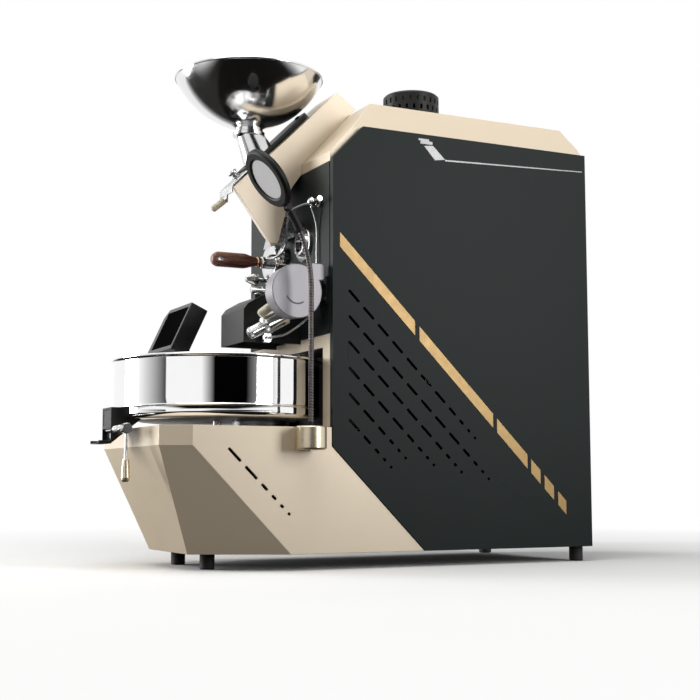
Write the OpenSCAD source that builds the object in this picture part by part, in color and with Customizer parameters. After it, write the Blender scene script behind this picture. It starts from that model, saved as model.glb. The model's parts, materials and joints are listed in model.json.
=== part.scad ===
// Countertop drum coffee roaster with a front cooling pan.
// Machine places are given from the centre plane, the front plane of the tall body and the underside of
// its panels.

/* [Body] */
// Width across the two side panels
body_w = 398; // [380:1:440]
// Length of the side panels, front to back
body_l = 572; // [560:1:620]
// Height of the side panels
body_h = 791; // [780:1:820]
// Depth of the folded side panel trays
panel_d = 12; // [9:0.5:16]
// Sheet thickness of the casings
sheet = 2; // [1.5:0.1:2.5]
// Gap between neighbouring casings
seam = 1; // [0.5:0.1:2]
// Depth of the panels' sloped front corner
chamfer_drop = 66; // [56:1:76]
// Length along the panel top taken by that cut
chamfer_y = 63.6; // [55:0.1:75]
// Height at which the panel's lower diagonal starts
diagonal_z = 192; // [180:1:205]
// Length along the panel foot taken by the diagonal
diagonal_y = 191; // [180:1:205]
// Height of the lower edge of the dark front plate
front_plate_z = 399; // [390:1:402]
// Thickness of the dark front plate
front_plate_t = 3; // [2.5:0.1:4]
// Height of the hood above the panels
hood_rise = 62; // [50:1:70]
// Half width of the hood's flat top
hood_top_half = 149; // [135:1:160]
// Depth of the hood's front edge below the panels' top
hood_drop = 51; // [47:1:55]
// Length of the hood's front slope, front to back
hood_front_y = 104; // [95:1:115]
// Length of the hood's rear slope
hood_rear_y = 26; // [15:1:40]

/* [Side panel vents] */
// Rows of sloping slots
vent_full = [7, 8, 6, 4, 2, 1];
// Lengths of the short slots that end each row
vent_tail = [20, 12, 8, 6];
// Length of a full slot
vent_len = 30.5; // [24:0.5:34]
// Solid length between two slots of a row
vent_gap = 12.3; // [9:0.1:14]
// Width of a slot
vent_w = 5; // [3:0.1:6]
// Height between rows
vent_pitch = 47.6; // [40:0.1:50]
// Place of the first row from the body's front
vent_y = 32.6; // [28:0.1:40]
// Height of the first row
vent_z = 479; // [470:1:490]

/* [Side stripes] */
// Sum of the y and z places along the stripe's lower edge
stripe_low = 573; // [560:1:580]
// Sum of the y and z places along the stripe's upper edge
stripe_high = 600; // [590:1:610]
// Start and end of each stripe piece along the body
stripe_runs = [[14.4, 171.3], [181, 342], [351, 420], [428.5, 450], [459.4, 481], [491, 510]];
// Thickness of the stripe foil
foil_t = 0.5; // [0.3:0.1:0.8]

/* [Base] */
// Width of the base casing
base_w = 394; // [374:1:396]
// Height of the base casing's top
base_z = 226; // [222:1:230]
// Height of the fold between the base's upright band and its slopes
band_z = 191.6; // [185:0.1:198]
// Reach of the base's upright side faces in front of the body
base_side_y = 266; // [255:1:280]
// Corner cut of the base along x
corner_x = 28; // [20:1:40]
// Corner cut of the base along y
corner_y = 52; // [40:1:60]
// Set-back of the front slope at the foot
front_back = 75; // [60:1:90]
// Set-back of the corner slopes at the foot
corner_back = 88; // [75:1:100]
// Lengths of the slots along the base's side
base_slots = [33, 31, 16, 11, 8, 6];
// First slot's place in front of the body
base_slot_y = 200.5; // [190:0.5:210]
// First slot's height
base_slot_z = 186.7; // [180:0.1:190]
// Height of the rubber feet
foot_h = 29; // [24:1:34]
// Radius of the rubber feet
foot_r = 13.5; // [11:0.5:15]
// Distance of the rear feet from the centre plane
foot_x = 169; // [150:1:172]
// Rear feet's distance from the rear edge
foot_rear = 19; // [17:1:40]
// Distance of the front feet from the centre plane
foot_front_x = 80; // [60:1:90]
// Front feet's place in front of the body
foot_front_y = 195; // [170:1:205]

/* [Cooling pan] */
// Outer radius of the pan's rolled rim
pan_r = 200; // [190:1:203]
// Radius of the rod inside the rolled rim
rim_r = 3; // [2:0.1:4]
// Distance of the pan's centre in front of the body
pan_y = 148; // [146:1:156]
// Height of the pan's underside
pan_z = 242; // [241:1:246]
// Height of the pan's rim
pan_top = 355.6; // [350:0.1:362]
// Wall thickness of the pan
pan_t = 1.5; // [1:0.1:2]
// Height of the sieve above the pan's underside
sieve_h = 26; // [24:1:30]
// Thickness of the sieve
sieve_t = 2; // [1.5:0.1:3]
// Length of a sieve slot
sieve_slot = 20; // [14:1:22]
// Width of a sieve slot
sieve_slot_w = 3.2; // [2.5:0.1:4]
// Number of stirring arms
arm_count = 3; // [2:1:4]
// Length of a stirring arm from the hub's centre
arm_len = 176; // [160:1:182]
// Height of the thin bead round the outside of the pan's wall
bead_z = 264; // [258:1:270]
// Height of the stirring arms above the sieve
arm_z = 36; // [30:1:45]
// Radius of the suction duct under the pan
duct_r = 52; // [45:1:54]
// Distance of the suction duct's axis in front of the body
duct_y = 60; // [58:1:62]

/* [Bean outlet] */
// Width of the outlet box
outlet_w = 56; // [50:1:62]
// Front face of the outlet box in front of the body
outlet_y = 362; // [358:1:368]
// Top of the outlet box
outlet_top = 263; // [261:0.5:265]
// Bottom of the outlet box at its front
outlet_z = 195; // [192:1:198]
// Height of the flap's axle
flap_z = 222; // [220:0.5:226]
// Reach of the lip beyond the box
lip_y = 22; // [16:1:28]
// Place of the hanging rod from the centre plane
lever_x = 99; // [85:1:110]
// Length of the hanging rod
lever_len = 48; // [40:1:60]
// Length of the lever's grip
lever_grip = 40; // [30:1:50]

/* [Hopper] */
// Outer radius of the hopper's rim
hopper_r = 146; // [135:1:155]
// Height of the hopper's rim
hopper_z = 917; // [905:1:930]
// Height of the hopper's lower end
hopper_low = 815; // [810:1:820]
// Distance of the hopper's axis in front of the body
hopper_y = 87; // [80:1:95]
// Bore radius of the throat under the hopper
throat_r = 22; // [19:0.5:23]
// Lean of the throat from upright
throat_lean = 25; // [20:1:30]
// Place of the inlet housing's right cheek from the centre plane
inlet_near = 60; // [50:1:62]
// Place of the inlet housing's left cheek from the centre plane
inlet_far = 37; // [36:1:40]
// Angle in plan of the housing's raked front
inlet_rake = 26.6; // [22:0.1:28]
// Centre of the polished spout, right of the centre plane
spout_x = 15; // [12:1:17]
// Travel of the hopper's slide gate
gate_travel = 52; // [48:1:54]

/* [Front fittings] */
// Height of the drum's axis
drum_z = 520; // [515:1:525]
// Outer radius of the roasting drum
drum_r = 112; // [108:0.5:113]
// Length of the roasting drum
drum_l = 312; // [280:1:314]
// Place of the sampler from the centre plane
trier_x = 72; // [71:1:76]
// Height of the sampler
trier_z = 567; // [565:0.5:571]
// Radius of the sampler's flange
trier_flange_r = 38; // [34:1:40]
// Length of the sampler's wooden handle
handle_l = 96; // [80:1:110]
// Pull-out travel of the sampler
trier_travel = 120; // [100:1:125]
// Place of the sight glass from the centre plane
glass_x = 77; // [74:1:82]
// Height of the sight glass
glass_z = 580; // [575:1:585]
// Outer radius of the sight glass flange
glass_r = 33; // [28:1:34]
// Place of the door axle in front of the body
door_y = 62; // [60:1:66]
// Height of the door axle
door_z = 474; // [470:1:477]
// Radius of the door axle
axle_r = 6; // [5:0.5:7]
// Radius of the round actuator can
can_r = 50; // [44:1:52]
// Outer face of the actuator can from the centre plane
can_x = 179; // [170:1:184]
// Depth of the actuator can
can_d = 39; // [34:1:44]
// Half width of the discharge chute
chute_half = 59; // [54:1:64]
// Reach of the chute in front of the body
chute_y = 119; // [112:1:124]
// Height of the chute's lower edge
chute_z = 390; // [386:1:396]
// Running clearance between axles and their holes
run_gap = 0.05; // [0.02:0.01:0.1]

/* [Lamp] */
// Distance of the lamp's cup outside the base casing
lamp_out = 29; // [27:1:38]
// Place of the lamp arm in front of the body
lamp_y = 56; // [50:1:62]
// Radius of the lamp's base cup
cup_r = 28; // [24:1:29]
// Height of the lamp's base cup
cup_h = 42; // [36:1:50]
// Radius of the lamp's ribbed arm
goose_r = 4.9; // [4:0.1:6]
// Height at which the arm starts to bend
goose_z = 472.5; // [460:0.5:480]
// Bend radius of the arm
goose_bend = 246; // [230:1:270]
// Angle of the arm's bend
goose_angle = 35.5; // [30:0.1:42]
// Radius of the lamp's head
head_r = 57; // [52:0.1:62]
// Thickness of the lamp's head
head_t = 15; // [12:1:20]

/* [Console] */
// Width of the touch console
console_w = 155; // [130:1:160]
// Height of the console along its face
console_h = 105; // [95:1:106]
// Thickness of the console
console_t = 37; // [32:1:38]
// Lean of the console from upright
console_lean = 25; // [20:1:30]
// Place of the console's right face left of the centre plane
console_x = 127; // [120:1:132]
// Place of the console's front top edge in front of the body
console_y = 155; // [150:1:160]
// Height of the console's front top edge
console_z = 486.5; // [480:0.5:492]
// Distance of the support arm left of the centre plane
arm_x = 171; // [168:1:172]
// Drop of the console's support arm below the front plate
arm_drop = 21; // [18:1:24]

/* [Chimney] */
// Radius of the chimney cap
cap_r = 58; // [54:1:64]
// Height of the chimney cap above the hood
cap_rise = 75; // [62:1:85]
// Distance of the chimney behind the body's front
chimney_y = 277; // [260:1:290]
// Radius of the exhaust stack
stack_r = 48; // [40:1:50]

/* [Drive] */
// Module of the drive gears
gear_m = 2; // [2:0.1:2.1]
// Teeth on the drum's gear
drum_teeth = 66; // [60:1:70]
// Teeth on the motor's pinion
pinion_teeth = 18; // [15:1:20]
// Thickness of the drive gears
gear_t = 12; // [8:1:14]

/* [Hidden] */
$fn = 64;

champagne = [0.84, 0.79, 0.70];
charcoal = [0.25, 0.27, 0.28];
black = [0.08, 0.08, 0.09];
steel = [0.80, 0.80, 0.82];
gold = [0.72, 0.60, 0.40];
cream = [0.90, 0.87, 0.74];
wood = [0.45, 0.22, 0.14];
grey = [0.62, 0.62, 0.65];

half_w = body_w / 2;
chamfer_z = body_h - chamfer_drop;
hood_z = body_h + hood_rise;
hood_front_z = body_h - hood_drop;
cap_z = hood_z + cap_rise;
lamp_x = base_w / 2 + lamp_out;
arm_height = front_plate_z - arm_drop;
inner_half = half_w - panel_d;
lip_reach = outlet_y + lip_y;
front_y = (lip_reach - body_l) / 2;
slope = 45;
big = 900;
pan_wall_r = pan_r - 2 * rim_r;
sieve_z = pan_z + sieve_h;
rear_y = body_l - sheet;
drum_y = 8;
chamber_back = drum_y + drum_l + 12;
bulkhead_y = chamber_back + 24;
plate_top = hood_front_z - 19;
gear_y = bulkhead_y + 16;
gear_centres = gear_m * (drum_teeth + pinion_teeth) / 2;
pinion_z = drum_z + gear_centres;
chamber_r = drum_r + 10;
flap_y = outlet_y - 8;

plate_t = 3;
plate_y = sheet - front_plate_t;
post_w = 25;
panel_lip = 15 + sheet;
base_flange = 15;
hood_rim_z = body_h - 1;
hood_brow_z = hood_z - 48;
hood_pitch = atan2(hood_z - hood_front_z, hood_front_y);
hood_fall = atan2(hood_z - hood_brow_z, hood_rear_y);
recess_d = 76;
recess_half = 156;
recess_top = 375;
bulkhead_t = 4;
bulkhead_low = 330;
bulkhead_top = 700;
shaft_r = 10;
pinion_shaft_r = 5;
fan_shaft_r = 5;
vent_shaft_r = 4;
flap_axle_r = 4;
spring_r = 7;
spring_wire_r = 1;
tooth_play = 0.1;
drum_t = 2.5;
tray_front = 88;
tray_z = 362;
scroll_r = 95;
fan_z = 765;
heater_z = 380;
heater_r = 4;
heater_legs = [-55, -25, -15, 15, 25, 55];
throat_back = -300;
collar_half = 26;
collar_front = -338;
collar_back = -302;
outlet_outline = [[-outlet_y, outlet_z + 2], [-320, 231], [throat_back, pan_z + 4],
  [throat_back, outlet_top],
  [-outlet_y, outlet_top]];
agitator_shaft_r = 8;
motor_posts = [[-34, 28], [34, 28], [-62, -4], [62, -4]];
air_half = 40;
fan_mid_z = 105;
inlet_x = 120;
inlet_z = 60;
socket_w = 50;
socket_h = 28;
panel_outline = [[0, diagonal_z], [diagonal_y, 0], [body_l, 0], [body_l, body_h], [chamfer_y, body_h],
  [0, chamfer_z]];
accent_marks = [[[182, 13], [205, 13], [205, 9], [182, 9]], [[186, 19], [212.5, 19], [212.5, 13], [186, 13]],
  [[193.7, 22.8], [217.8, 48.5], [240, 45], [213.6, 20.5]],
  [[240, 48], [564, 36], [564, 34], [240, 45]]];
sleeve_r = 9;
pane_r = 17;
port_half = 24;
feed_z = 606;
feed_h = 22;
door_port_half = 48;
door_port_z = 428;
door_port_h = 50;
nose = [-138.7, 681.5];
housing_foot = [-66.5, 581.8];
housing_heel = [-49.9, 581.2];
housing_back = [-20.9, 693.3];
slope_sum = nose[1] - nose[0];
housing_rear_y = 75;
housing_drop = 30;
housing_outline = [nose, housing_foot, housing_heel, housing_back, [0, plate_top + 1], [0, hood_front_z],
  [housing_rear_y + housing_drop * 1.4, hood_front_z + (housing_rear_y + housing_drop * 1.4)
  * tan(hood_pitch)],
  [housing_rear_y, housing_rear_y + slope_sum]];
spout_half = 28;
spout_top = 637;
spout_outline = [housing_heel, [-34, 591], [plate_y, feed_z - sheet], [plate_y, feed_z + feed_h + sheet],
  [-15, spout_top + 6], [housing_heel[0] + (spout_top - housing_heel[1])
  * (housing_back[0] - housing_heel[0])
  / (housing_back[1] - housing_heel[1]), spout_top]];
throat_y = (-hopper_y + (hopper_low - 7 - slope_sum) * tan(throat_lean)) / (1 + tan(throat_lean));
neck_l = (hopper_low - 7 - throat_y - slope_sum) / cos(throat_lean);
guide_half = 34;
guide_low = 42;
guide_high = 140;
guide_t = 9.6;
guide_floor = 2.8;
slide_gap = 0.3;
gate_half = 26;
gate_t = 3;
gate_floor = guide_floor + slide_gap;
gate_low = 94.6;
gate_tail = gate_travel + throat_r + 8;
tab_half = 33;
tab_h = 13;
grip_r = 6.5;
grip_fall = 40;
grip_l = 38;
hopper_arc = 177;

flange_t = 12;
rod_r = 6.75;
rod_in = 120;
ferrule_y = 30.5;
pane_t = 3;
gland = [144, -17, 650];
lead_r = 2.3;
bean_probe = [-12, 572, 22];
bean_lead = [[128, -17, 650], [123, -17.6, 650], [114, -26, 647.6], [98, -38, 640], [80, -38, 625],
  [66, -34, 606],
  [54, -30, 587], [38, -31, 571],
  [16, -39, 562], [-4, -42, 565], [-12, -34, 571], [-12, -23, 572]];
chute_lead = [[144, -17, 638], [143, -12, 625], [141.5, -5.5, 600], [141.5, -5.5, 550], [141.5, -5.5, 490],
  [141.5, -8, 458],
  [141, -20, 434], [130, -33, 420], [118, -42, 411], [106, -54, 402], [97, -70, 398],
  [84, -door_y - 15, chute_z + 8]];
chute_outline = [[-chute_y, chute_z], [plate_y, chute_z], [plate_y, door_z + 20], [-50, door_z + 16],
  [-82, door_z + 6],
  [-110, door_z - 10], [-chute_y, door_z - 22]];
lever_fall = 38;
weight_fall = 28.8;
flap_fall = 41.9;
flap_l = 77;
hub_x = 118;
ear_low = 23;
ear_h = 30;
ear_r = 8;
ear_y = door_y + plate_y - 5;
bracket_x = 146;
head_fall = 36;
head_turn = 0;
sleeve_angle = 24.3;
rib_pitch = 5.2;
glow_r = 39;
screen_t = 2;
pivot_y = 148;
arm_r = 8;
head_out = head_r + 5.3;
head_across = sqrt(1 - pow(cos(head_fall) * sin(head_turn), 2));
lamp_reach = lamp_x + head_out * sin(head_fall) * sin(head_turn) + head_r * head_across
  + (head_t / 2 - 2) * cos(head_fall) * sin(head_turn);
side_x = (console_x + console_w - lamp_reach) / 2;

// Vector of length one, and the left-hand normal of a plane vector
function unit(v) = v / norm(v);
function left(v) = [-v[1], v[0]];
// Sum of the first n lengths of a list
function sum_of(v, n) = n == 0 ? 0 : v[n - 1] + sum_of(v, n - 1);
// Starts and lengths of one row of side slots: full ones first, then the short tail
function vent_runs(full) = [for (i = [0 : full + len(vent_tail) - 1])
  let (late = max(0, i - full))
  [min(i, full) * (vent_len + vent_gap) + sum_of(vent_tail, late) + late * vent_gap,
   i < full ? vent_len : vent_tail[late]]];
// Centre of the arc of radius r that bulges down and outwards from p to q
function arc_centre(p, q, r) = (p + q) / 2 + left(unit(q - p)) * sqrt(r * r - norm(q - p) * norm(q - p) / 4);
// Outline of a polygon, drawn anticlockwise, with every edge moved inwards by d
function inset(p, d) = [for (i = [0 : len(p) - 1])
  let (a = p[(i + len(p) - 1) % len(p)], b = p[i], c = p[(i + 1) % len(p)],
       m = left(unit(b - a)), n = left(unit(c - b)))
  b + (m + n) * d / (1 + m * n)];

// Puts machine places on the feet, with the whole part centred both ways
module placed() { translate([side_x, front_y, foot_h]) children(); }
module both_sides() {
  children();
  mirror([1, 0, 0]) children();
}
// Solid between two x places with its outline in the y-z plane
module profile_x(x0, x1, outline) {
  translate([x0, 0, 0]) rotate([90, 0, 90]) linear_extrude(x1 - x0) polygon(outline);
}
module rod_x(r, x0, x1) { translate([x0, 0, 0]) rotate([0, 90, 0]) cylinder(r = r, h = x1 - x0); }
module rod_y(r, y0, y1) { translate([0, y1, 0]) rotate([90, 0, 0]) cylinder(r = r, h = y1 - y0); }
module tube_z(r_out, r_in, z0, z1) {
  difference() {
    translate([0, 0, z0]) cylinder(r = r_out, h = z1 - z0);
    translate([0, 0, z0 - 1]) cylinder(r = r_in, h = z1 - z0 + 2);
  }
}
module box(x0, x1, y0, y1, z0, z1) { translate([x0, y0, z0]) cube([x1 - x0, y1 - y0, z1 - z0]); }

// Outer form of the base, moved inwards by d
module base_form(d) {
  half = base_w / 2;
  plan = [[-half, big], [-half, -base_side_y], [corner_x - half, -base_side_y - corner_y],
    [half - corner_x, -base_side_y - corner_y], [half, -base_side_y], [half, big]];
  intersection() {
    translate([0, 0, -1]) linear_extrude(base_z + 2) polygon(inset(plan, d));
    translate([0, -base_side_y - corner_y, band_z]) rotate([atan(front_back / band_z), 0, 0])
      translate([-big, d, -big]) cube(2 * big);
    behind_corner(d);
    mirror([1, 0, 0]) behind_corner(d);
  }
}
// Room behind the slope of the base's right corner, moved inwards by d
module behind_corner(d) {
  translate([base_w / 2, -base_side_y, band_z - 0.5]) rotate([0, 0, atan2(corner_y, corner_x)])
    rotate([atan(corner_back / band_z), 0, 0]) translate([-big, d, -big]) cube(2 * big);
}

module feet() {
  color(black) placed() both_sides()
    for (p = [[foot_x, body_l - foot_rear], [foot_front_x, -foot_front_y]])
      translate([p[0], p[1], -foot_h]) rotate_extrude()
        polygon([[0, 0], [foot_r - 2, 0], [foot_r, 2], [foot_r, foot_h], [foot_r - 3, foot_h + sheet],
          [0, foot_h + sheet]]);
}

module chassis() {
  color(grey) placed() {
    difference() {
      intersection() {
        base_form(sheet + seam);
        box(-inner_half, inner_half, -big, rear_y, sheet, sheet + plate_t);
      }
      translate([0, -duct_y, 0]) cylinder(r = 3, h = 20);
    }
    both_sides() for (front = [true, false]) translate([inner_half, front ? sheet : rear_y, 0])
      mirror([0, front ? 0 : 1, 0]) difference() {
        box(-post_w, 0, 0, post_w, sheet + plate_t, front ? plate_top - seam : hood_rim_z - seam);
        box(-post_w - 1, -plate_t, plate_t, post_w + 1, 0, big);
      }
    difference() {
      box(plate_t - inner_half, inner_half - plate_t, bulkhead_y, bulkhead_y + bulkhead_t, bulkhead_low,
        bulkhead_top);
      translate([0, 0, drum_z]) rod_y(shaft_r + 2, bulkhead_y - 1, bulkhead_y + bulkhead_t + 1);
      for (p = motor_posts) translate([p[0], 0, pinion_z + p[1]])
        rod_y(2, bulkhead_y - 1, bulkhead_y + bulkhead_t + 1);
    }
    both_sides() difference() {
      box(inner_half - post_w, inner_half, bulkhead_y - post_w, bulkhead_y, sheet + plate_t, bulkhead_top);
      box(0, inner_half - plate_t, 0, bulkhead_y - plate_t, sheet + plate_t + 1, big);
    }
  }
}

// Sloping slots from a start place, each slot given as [start, length] down the slope
module slope_slots(runs, w, depth) {
  rotate([90, 0, 90]) linear_extrude(depth) rotate(-slope) for (s = runs) {
    translate([s[0] + w / 2, -w / 2]) square([s[1] - w, w]);
    for (x = [s[0] + w / 2, s[0] + s[1] - w / 2]) translate([x, 0]) circle(d = w, $fn = 24);
  }
}

module base_shell() {
  color(champagne) placed() difference() {
    intersection() {
      base_form(0);
      union() {
        box(-big, big, -big, recess_d + 2 * sheet, 0, base_z);
        box(-big, big, 0, diagonal_y, 0, diagonal_z - recess_d);
      }
    }
    difference() {
      base_form(sheet);
      box(-big, big, -big, big, base_z - sheet, big);
    }
    intersection() {
      base_form(base_flange);
      box(-big, big, -big, big, -1, sheet + 1);
    }
    both_sides() profile_x(inner_half - seam, big, inset(panel_outline, -seam));
    translate([0, -duct_y, 0]) cylinder(r = duct_r + 3 + seam, h = big);
    translate([0, -pan_y, 0]) cylinder(r = agitator_shaft_r + 2, h = big);
    both_sides() box(inner_half - post_w - seam, inner_half, sheet - seam, sheet + post_w + seam,
      sheet + 1, big);
    both_sides() translate([base_w / 2 - sheet - 1, -base_slot_y, base_slot_z])
      slope_slots([for (i = [0 : len(base_slots) - 1])
        [sum_of(base_slots, i) + i * vent_gap, base_slots[i]]], vent_w, sheet + 2);
  }
}

module lower_front_panel() {
  color(champagne) placed() difference() {
    box(seam - inner_half, inner_half - seam, 0, sheet, base_z, front_plate_z - seam);
    box(-recess_half, recess_half, -1, sheet + 1, base_z - 1, recess_top);
    translate([-arm_x, 0, arm_height]) rod_y(arm_r, -1, sheet + 1);
  }
}

module pan_recess() {
  color(charcoal) placed() difference() {
    box(-recess_half - sheet, recess_half + sheet, sheet, recess_d + 2 * sheet, base_z, recess_top + sheet);
    box(-recess_half, recess_half, sheet - 1, recess_d + sheet, base_z - 1, recess_top);
  }
}

// Folded side panel with its sloping rows of slots, on the +X side
module side_panel() {
  difference() {
    profile_x(inner_half, half_w, panel_outline);
    profile_x(inner_half + sheet, half_w - sheet, inset(panel_outline, sheet));
    profile_x(inner_half - 1, inner_half + sheet + 1, inset(panel_outline, panel_lip));
    for (r = [0 : len(vent_full) - 1]) translate([half_w - sheet - 1, vent_y, vent_z - r * vent_pitch])
      slope_slots(vent_runs(vent_full[r]), vent_w, sheet + 2);
  }
}

module right_side_panel() {
  color(champagne) placed() side_panel();
}

module left_side_panel() {
  color(champagne) placed() mirror([1, 0, 0]) side_panel();
}

module side_stripes() {
  color(gold) placed() both_sides() {
    for (run = stripe_runs) profile_x(half_w, half_w + foil_t, [[run[0], stripe_low - run[0]],
      [run[1], stripe_low - run[1]], [run[1], stripe_high - run[1]], [run[0], stripe_high - run[0]]]);
    for (mark = accent_marks) profile_x(half_w, half_w + foil_t, [for (q = mark) [q[0], body_h - q[1]]]);
  }
}

module rear_panel() {
  color(charcoal) placed() difference() {
    box(seam - inner_half, inner_half - seam, rear_y, body_l, 0, hood_rim_z - seam);
    for (col = [-1, 0, 1], i = [0 : 9]) translate([col * 90, rear_y - 1, 500 + i * 14])
      louvre(64, 5, sheet + 2);
    for (i = [0 : 6]) translate([0, rear_y - 1, fan_mid_z - 24 + i * 8])
      louvre(2 * air_half - 6, 4, sheet + 2);
    translate([inlet_x, 0, inlet_z]) box(-socket_w / 2, socket_w / 2, rear_y - 1, body_l + 1,
      -socket_h / 2, socket_h / 2);
  }
}

// Round-ended slot of length l and width w, cut along +Y
module louvre(l, w, depth) {
  translate([0, depth, 0]) rotate([90, 0, 0]) linear_extrude(depth) {
    square([l - w, w], center = true);
    for (x = [-1, 1]) translate([x * (l - w) / 2, 0]) circle(d = w, $fn = 24);
  }
}

// Outer form of the hood, moved inwards by d
module hood_form(d) {
  front = [[d, d], [d, hood_front_z - d * tan(hood_pitch / 2)], [hood_front_y + d * tan(hood_pitch / 2),
    hood_z - d],
    [body_l - hood_rear_y - d * tan(hood_fall / 2), hood_z - d],
    [body_l - d, hood_brow_z - d * tan(45 - hood_fall / 2)],
    [body_l - d, d]];
  across = [[d - inner_half, d], [inner_half - d, d], [inner_half - d, body_h],
    [hood_top_half - d, hood_z - d],
    [d - hood_top_half, hood_z - d], [d - inner_half, body_h]];
  intersection() {
    profile_x(-big, big, front);
    translate([0, big, 0]) rotate([90, 0, 0]) linear_extrude(2 * big) polygon(across);
  }
}

module hood() {
  color(champagne) placed() difference() {
    hood_form(0);
    hood_form(sheet);
    profile_x(-big, big, inset(panel_outline, panel_lip));
    box(-big, big, -1, big, -1, plate_top);
    box(-big, big, chamfer_y, big, -1, hood_rim_z);
    translate([0, chimney_y, hood_z - 20]) cylinder(r = stack_r + sheet, h = 40);
  }
}

module front_plate() {
  color(charcoal) placed() difference() {
    box(seam - inner_half, inner_half - seam, plate_y, sheet, front_plate_z, plate_top - seam);
    translate([0, 0, drum_z]) rod_y(shaft_r + 2, plate_y - 1, sheet + 1);
    translate([-trier_x, 0, trier_z]) rod_y(sleeve_r + 1, plate_y - 1, sheet + 1);
    translate([glass_x, 0, glass_z]) rod_y(pane_r - 3, plate_y - 1, sheet + 1);
    box(spout_x - port_half, spout_x + port_half, plate_y - 1, sheet + 1, feed_z, feed_z + feed_h);
    box(-door_port_half, door_port_half, plate_y - 1, sheet + 1, door_port_z, door_port_z + door_port_h);
  }
}

// Front side of the inlet housing, raked back to the left, moved inwards by d
module raked(d) {
  lean = atan2(housing_foot[0] - nose[0], nose[1] - housing_foot[1]);
  translate([inlet_near, nose[0], nose[1]]) rotate([0, 0, -inlet_rake])
    rotate([atan(tan(lean) * cos(inlet_rake)), 0, 0]) translate([-big, d, -big]) cube(2 * big);
}

// Way from the housing into the spout
module spout_mouth() {
  box(spout_x - spout_half + sheet, spout_x + spout_half - sheet, housing_heel[0] - 6, -30, feed_z + 2,
    spout_top - 4);
  box(spout_x - 3, spout_x + spout_half - sheet, housing_heel[0] - 6, -30, housing_heel[1] + 12,
    spout_top - 4);
}

module inlet_housing() {
  color(champagne) placed() difference() {
    intersection() {
      profile_x(-inlet_far, inlet_near, housing_outline);
      raked(0);
    }
    intersection() {
      profile_x(sheet - inlet_far, inlet_near - sheet, inset(housing_outline, sheet));
      raked(sheet);
    }
    throat_line() cylinder(r = throat_r, h = 60, center = true);
    spout_mouth();
  }
}

module inlet_duct() {
  color(steel) placed() difference() {
    profile_x(spout_x - spout_half, spout_x + spout_half, spout_outline);
    profile_x(spout_x - spout_half + sheet, spout_x + spout_half - sheet, inset(spout_outline, sheet));
    spout_mouth();
    box(spout_x - spout_half + sheet, spout_x + spout_half - sheet, plate_y - 2 * sheet, 1, feed_z,
      feed_z + feed_h);
  }
}

// Turns to the slide's own directions: x across, y up the slope, z off the slope
module on_slope() {
  translate([0, throat_y, throat_y + slope_sum]) rotate([slope, 0, 0]) children();
}
// Places the throat's own axis, from the slide up to the hopper
module throat_line() {
  translate([0, throat_y, throat_y + slope_sum]) rotate([throat_lean, 0, 0]) children();
}

module gate_guide() {
  color(black) placed() on_slope() difference() {
    union() {
      box(-guide_half, guide_half, -guide_low, guide_high - guide_half, 0, guide_t);
      translate([0, guide_high - guide_half, 0]) cylinder(r = guide_half, h = guide_t);
      translate([0, guide_high - guide_half / 2, guide_t]) cylinder(r = 5, h = 3);
    }
    box(-gate_half - slide_gap, gate_half + slide_gap, -guide_low - 1, gate_tail + slide_gap,
      guide_floor, guide_floor + gate_t + 2 * slide_gap);
    rotate([throat_lean - slope, 0, 0]) cylinder(r = throat_r, h = 80, center = true);
  }
}

module gate_plate() {
  color(charcoal) placed() on_slope() {
    difference() {
      box(-gate_half, gate_half, -gate_low, gate_tail, gate_floor, gate_floor + gate_t);
      translate([0, gate_travel, 0]) cylinder(r = throat_r, h = 20);
    }
    translate([0, -gate_low + 32, gate_floor + gate_t]) rotate_extrude()
      polygon([[0, 0], [9, 0], [9, 3], [5, 5], [5, 8], [10, 10], [10, 14], [8, 16], [0, 16]]);
    translate([0, -gate_low, gate_floor]) rotate([-slope, 0, 0]) {
      box(-tab_half, tab_half, -gate_t * 0.7, gate_t * 0.3, -tab_h, gate_t / 2);
      box(-6, 6, -gate_t * 0.7, gate_t * 0.3, -tab_h - 14, 0);
      translate([0, 0, -tab_h - 6]) rotate([90 + grip_fall, 0, 0]) cylinder(r = grip_r - 2.5, h = 7);
    }
  }
}

module gate_grip() {
  color(cream) placed() on_slope() translate([0, -gate_low, gate_floor]) rotate([-slope, 0, 0])
    translate([0, 0, -tab_h - 6]) rotate([90 + grip_fall, 0, 0]) rotate_extrude()
      polygon([[0, 7], [grip_r - 1, 7], [grip_r, 9], [grip_r, grip_l - 3], [grip_r - 2, grip_l],
        [0, grip_l]]);
}

module hopper() {
  throat = 27;
  c = arc_centre([35, hopper_low + 5], [hopper_r, hopper_z], hopper_arc);
  a0 = atan2(hopper_low + 5 - c[1], 35 - c[0]);
  a1 = atan2(hopper_z - 3 - c[1], hopper_r - 3 - c[0]);
  outer = [for (i = [0 : 24]) c + hopper_arc * [cos(a0 + (a1 - a0) * i / 24), sin(a0 + (a1 - a0) * i / 24)]];
  inner = [for (i = [24 : -1 : 0]) c + (hopper_arc - pan_t)
    * [cos(a0 + (a1 - a0) * i / 24), sin(a0 + (a1 - a0) * i / 24)]];
  color(steel) placed() translate([0, -hopper_y, 0]) rotate_extrude($fn = 128) {
    polygon(concat([[throat_r, hopper_low], [throat, hopper_low]], outer, inner,
      [[throat, hopper_low + 3], [throat_r, hopper_low + 2]]));
    translate([hopper_r - rim_r, hopper_z - rim_r]) circle(r = rim_r, $fn = 24);
  }
}

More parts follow.
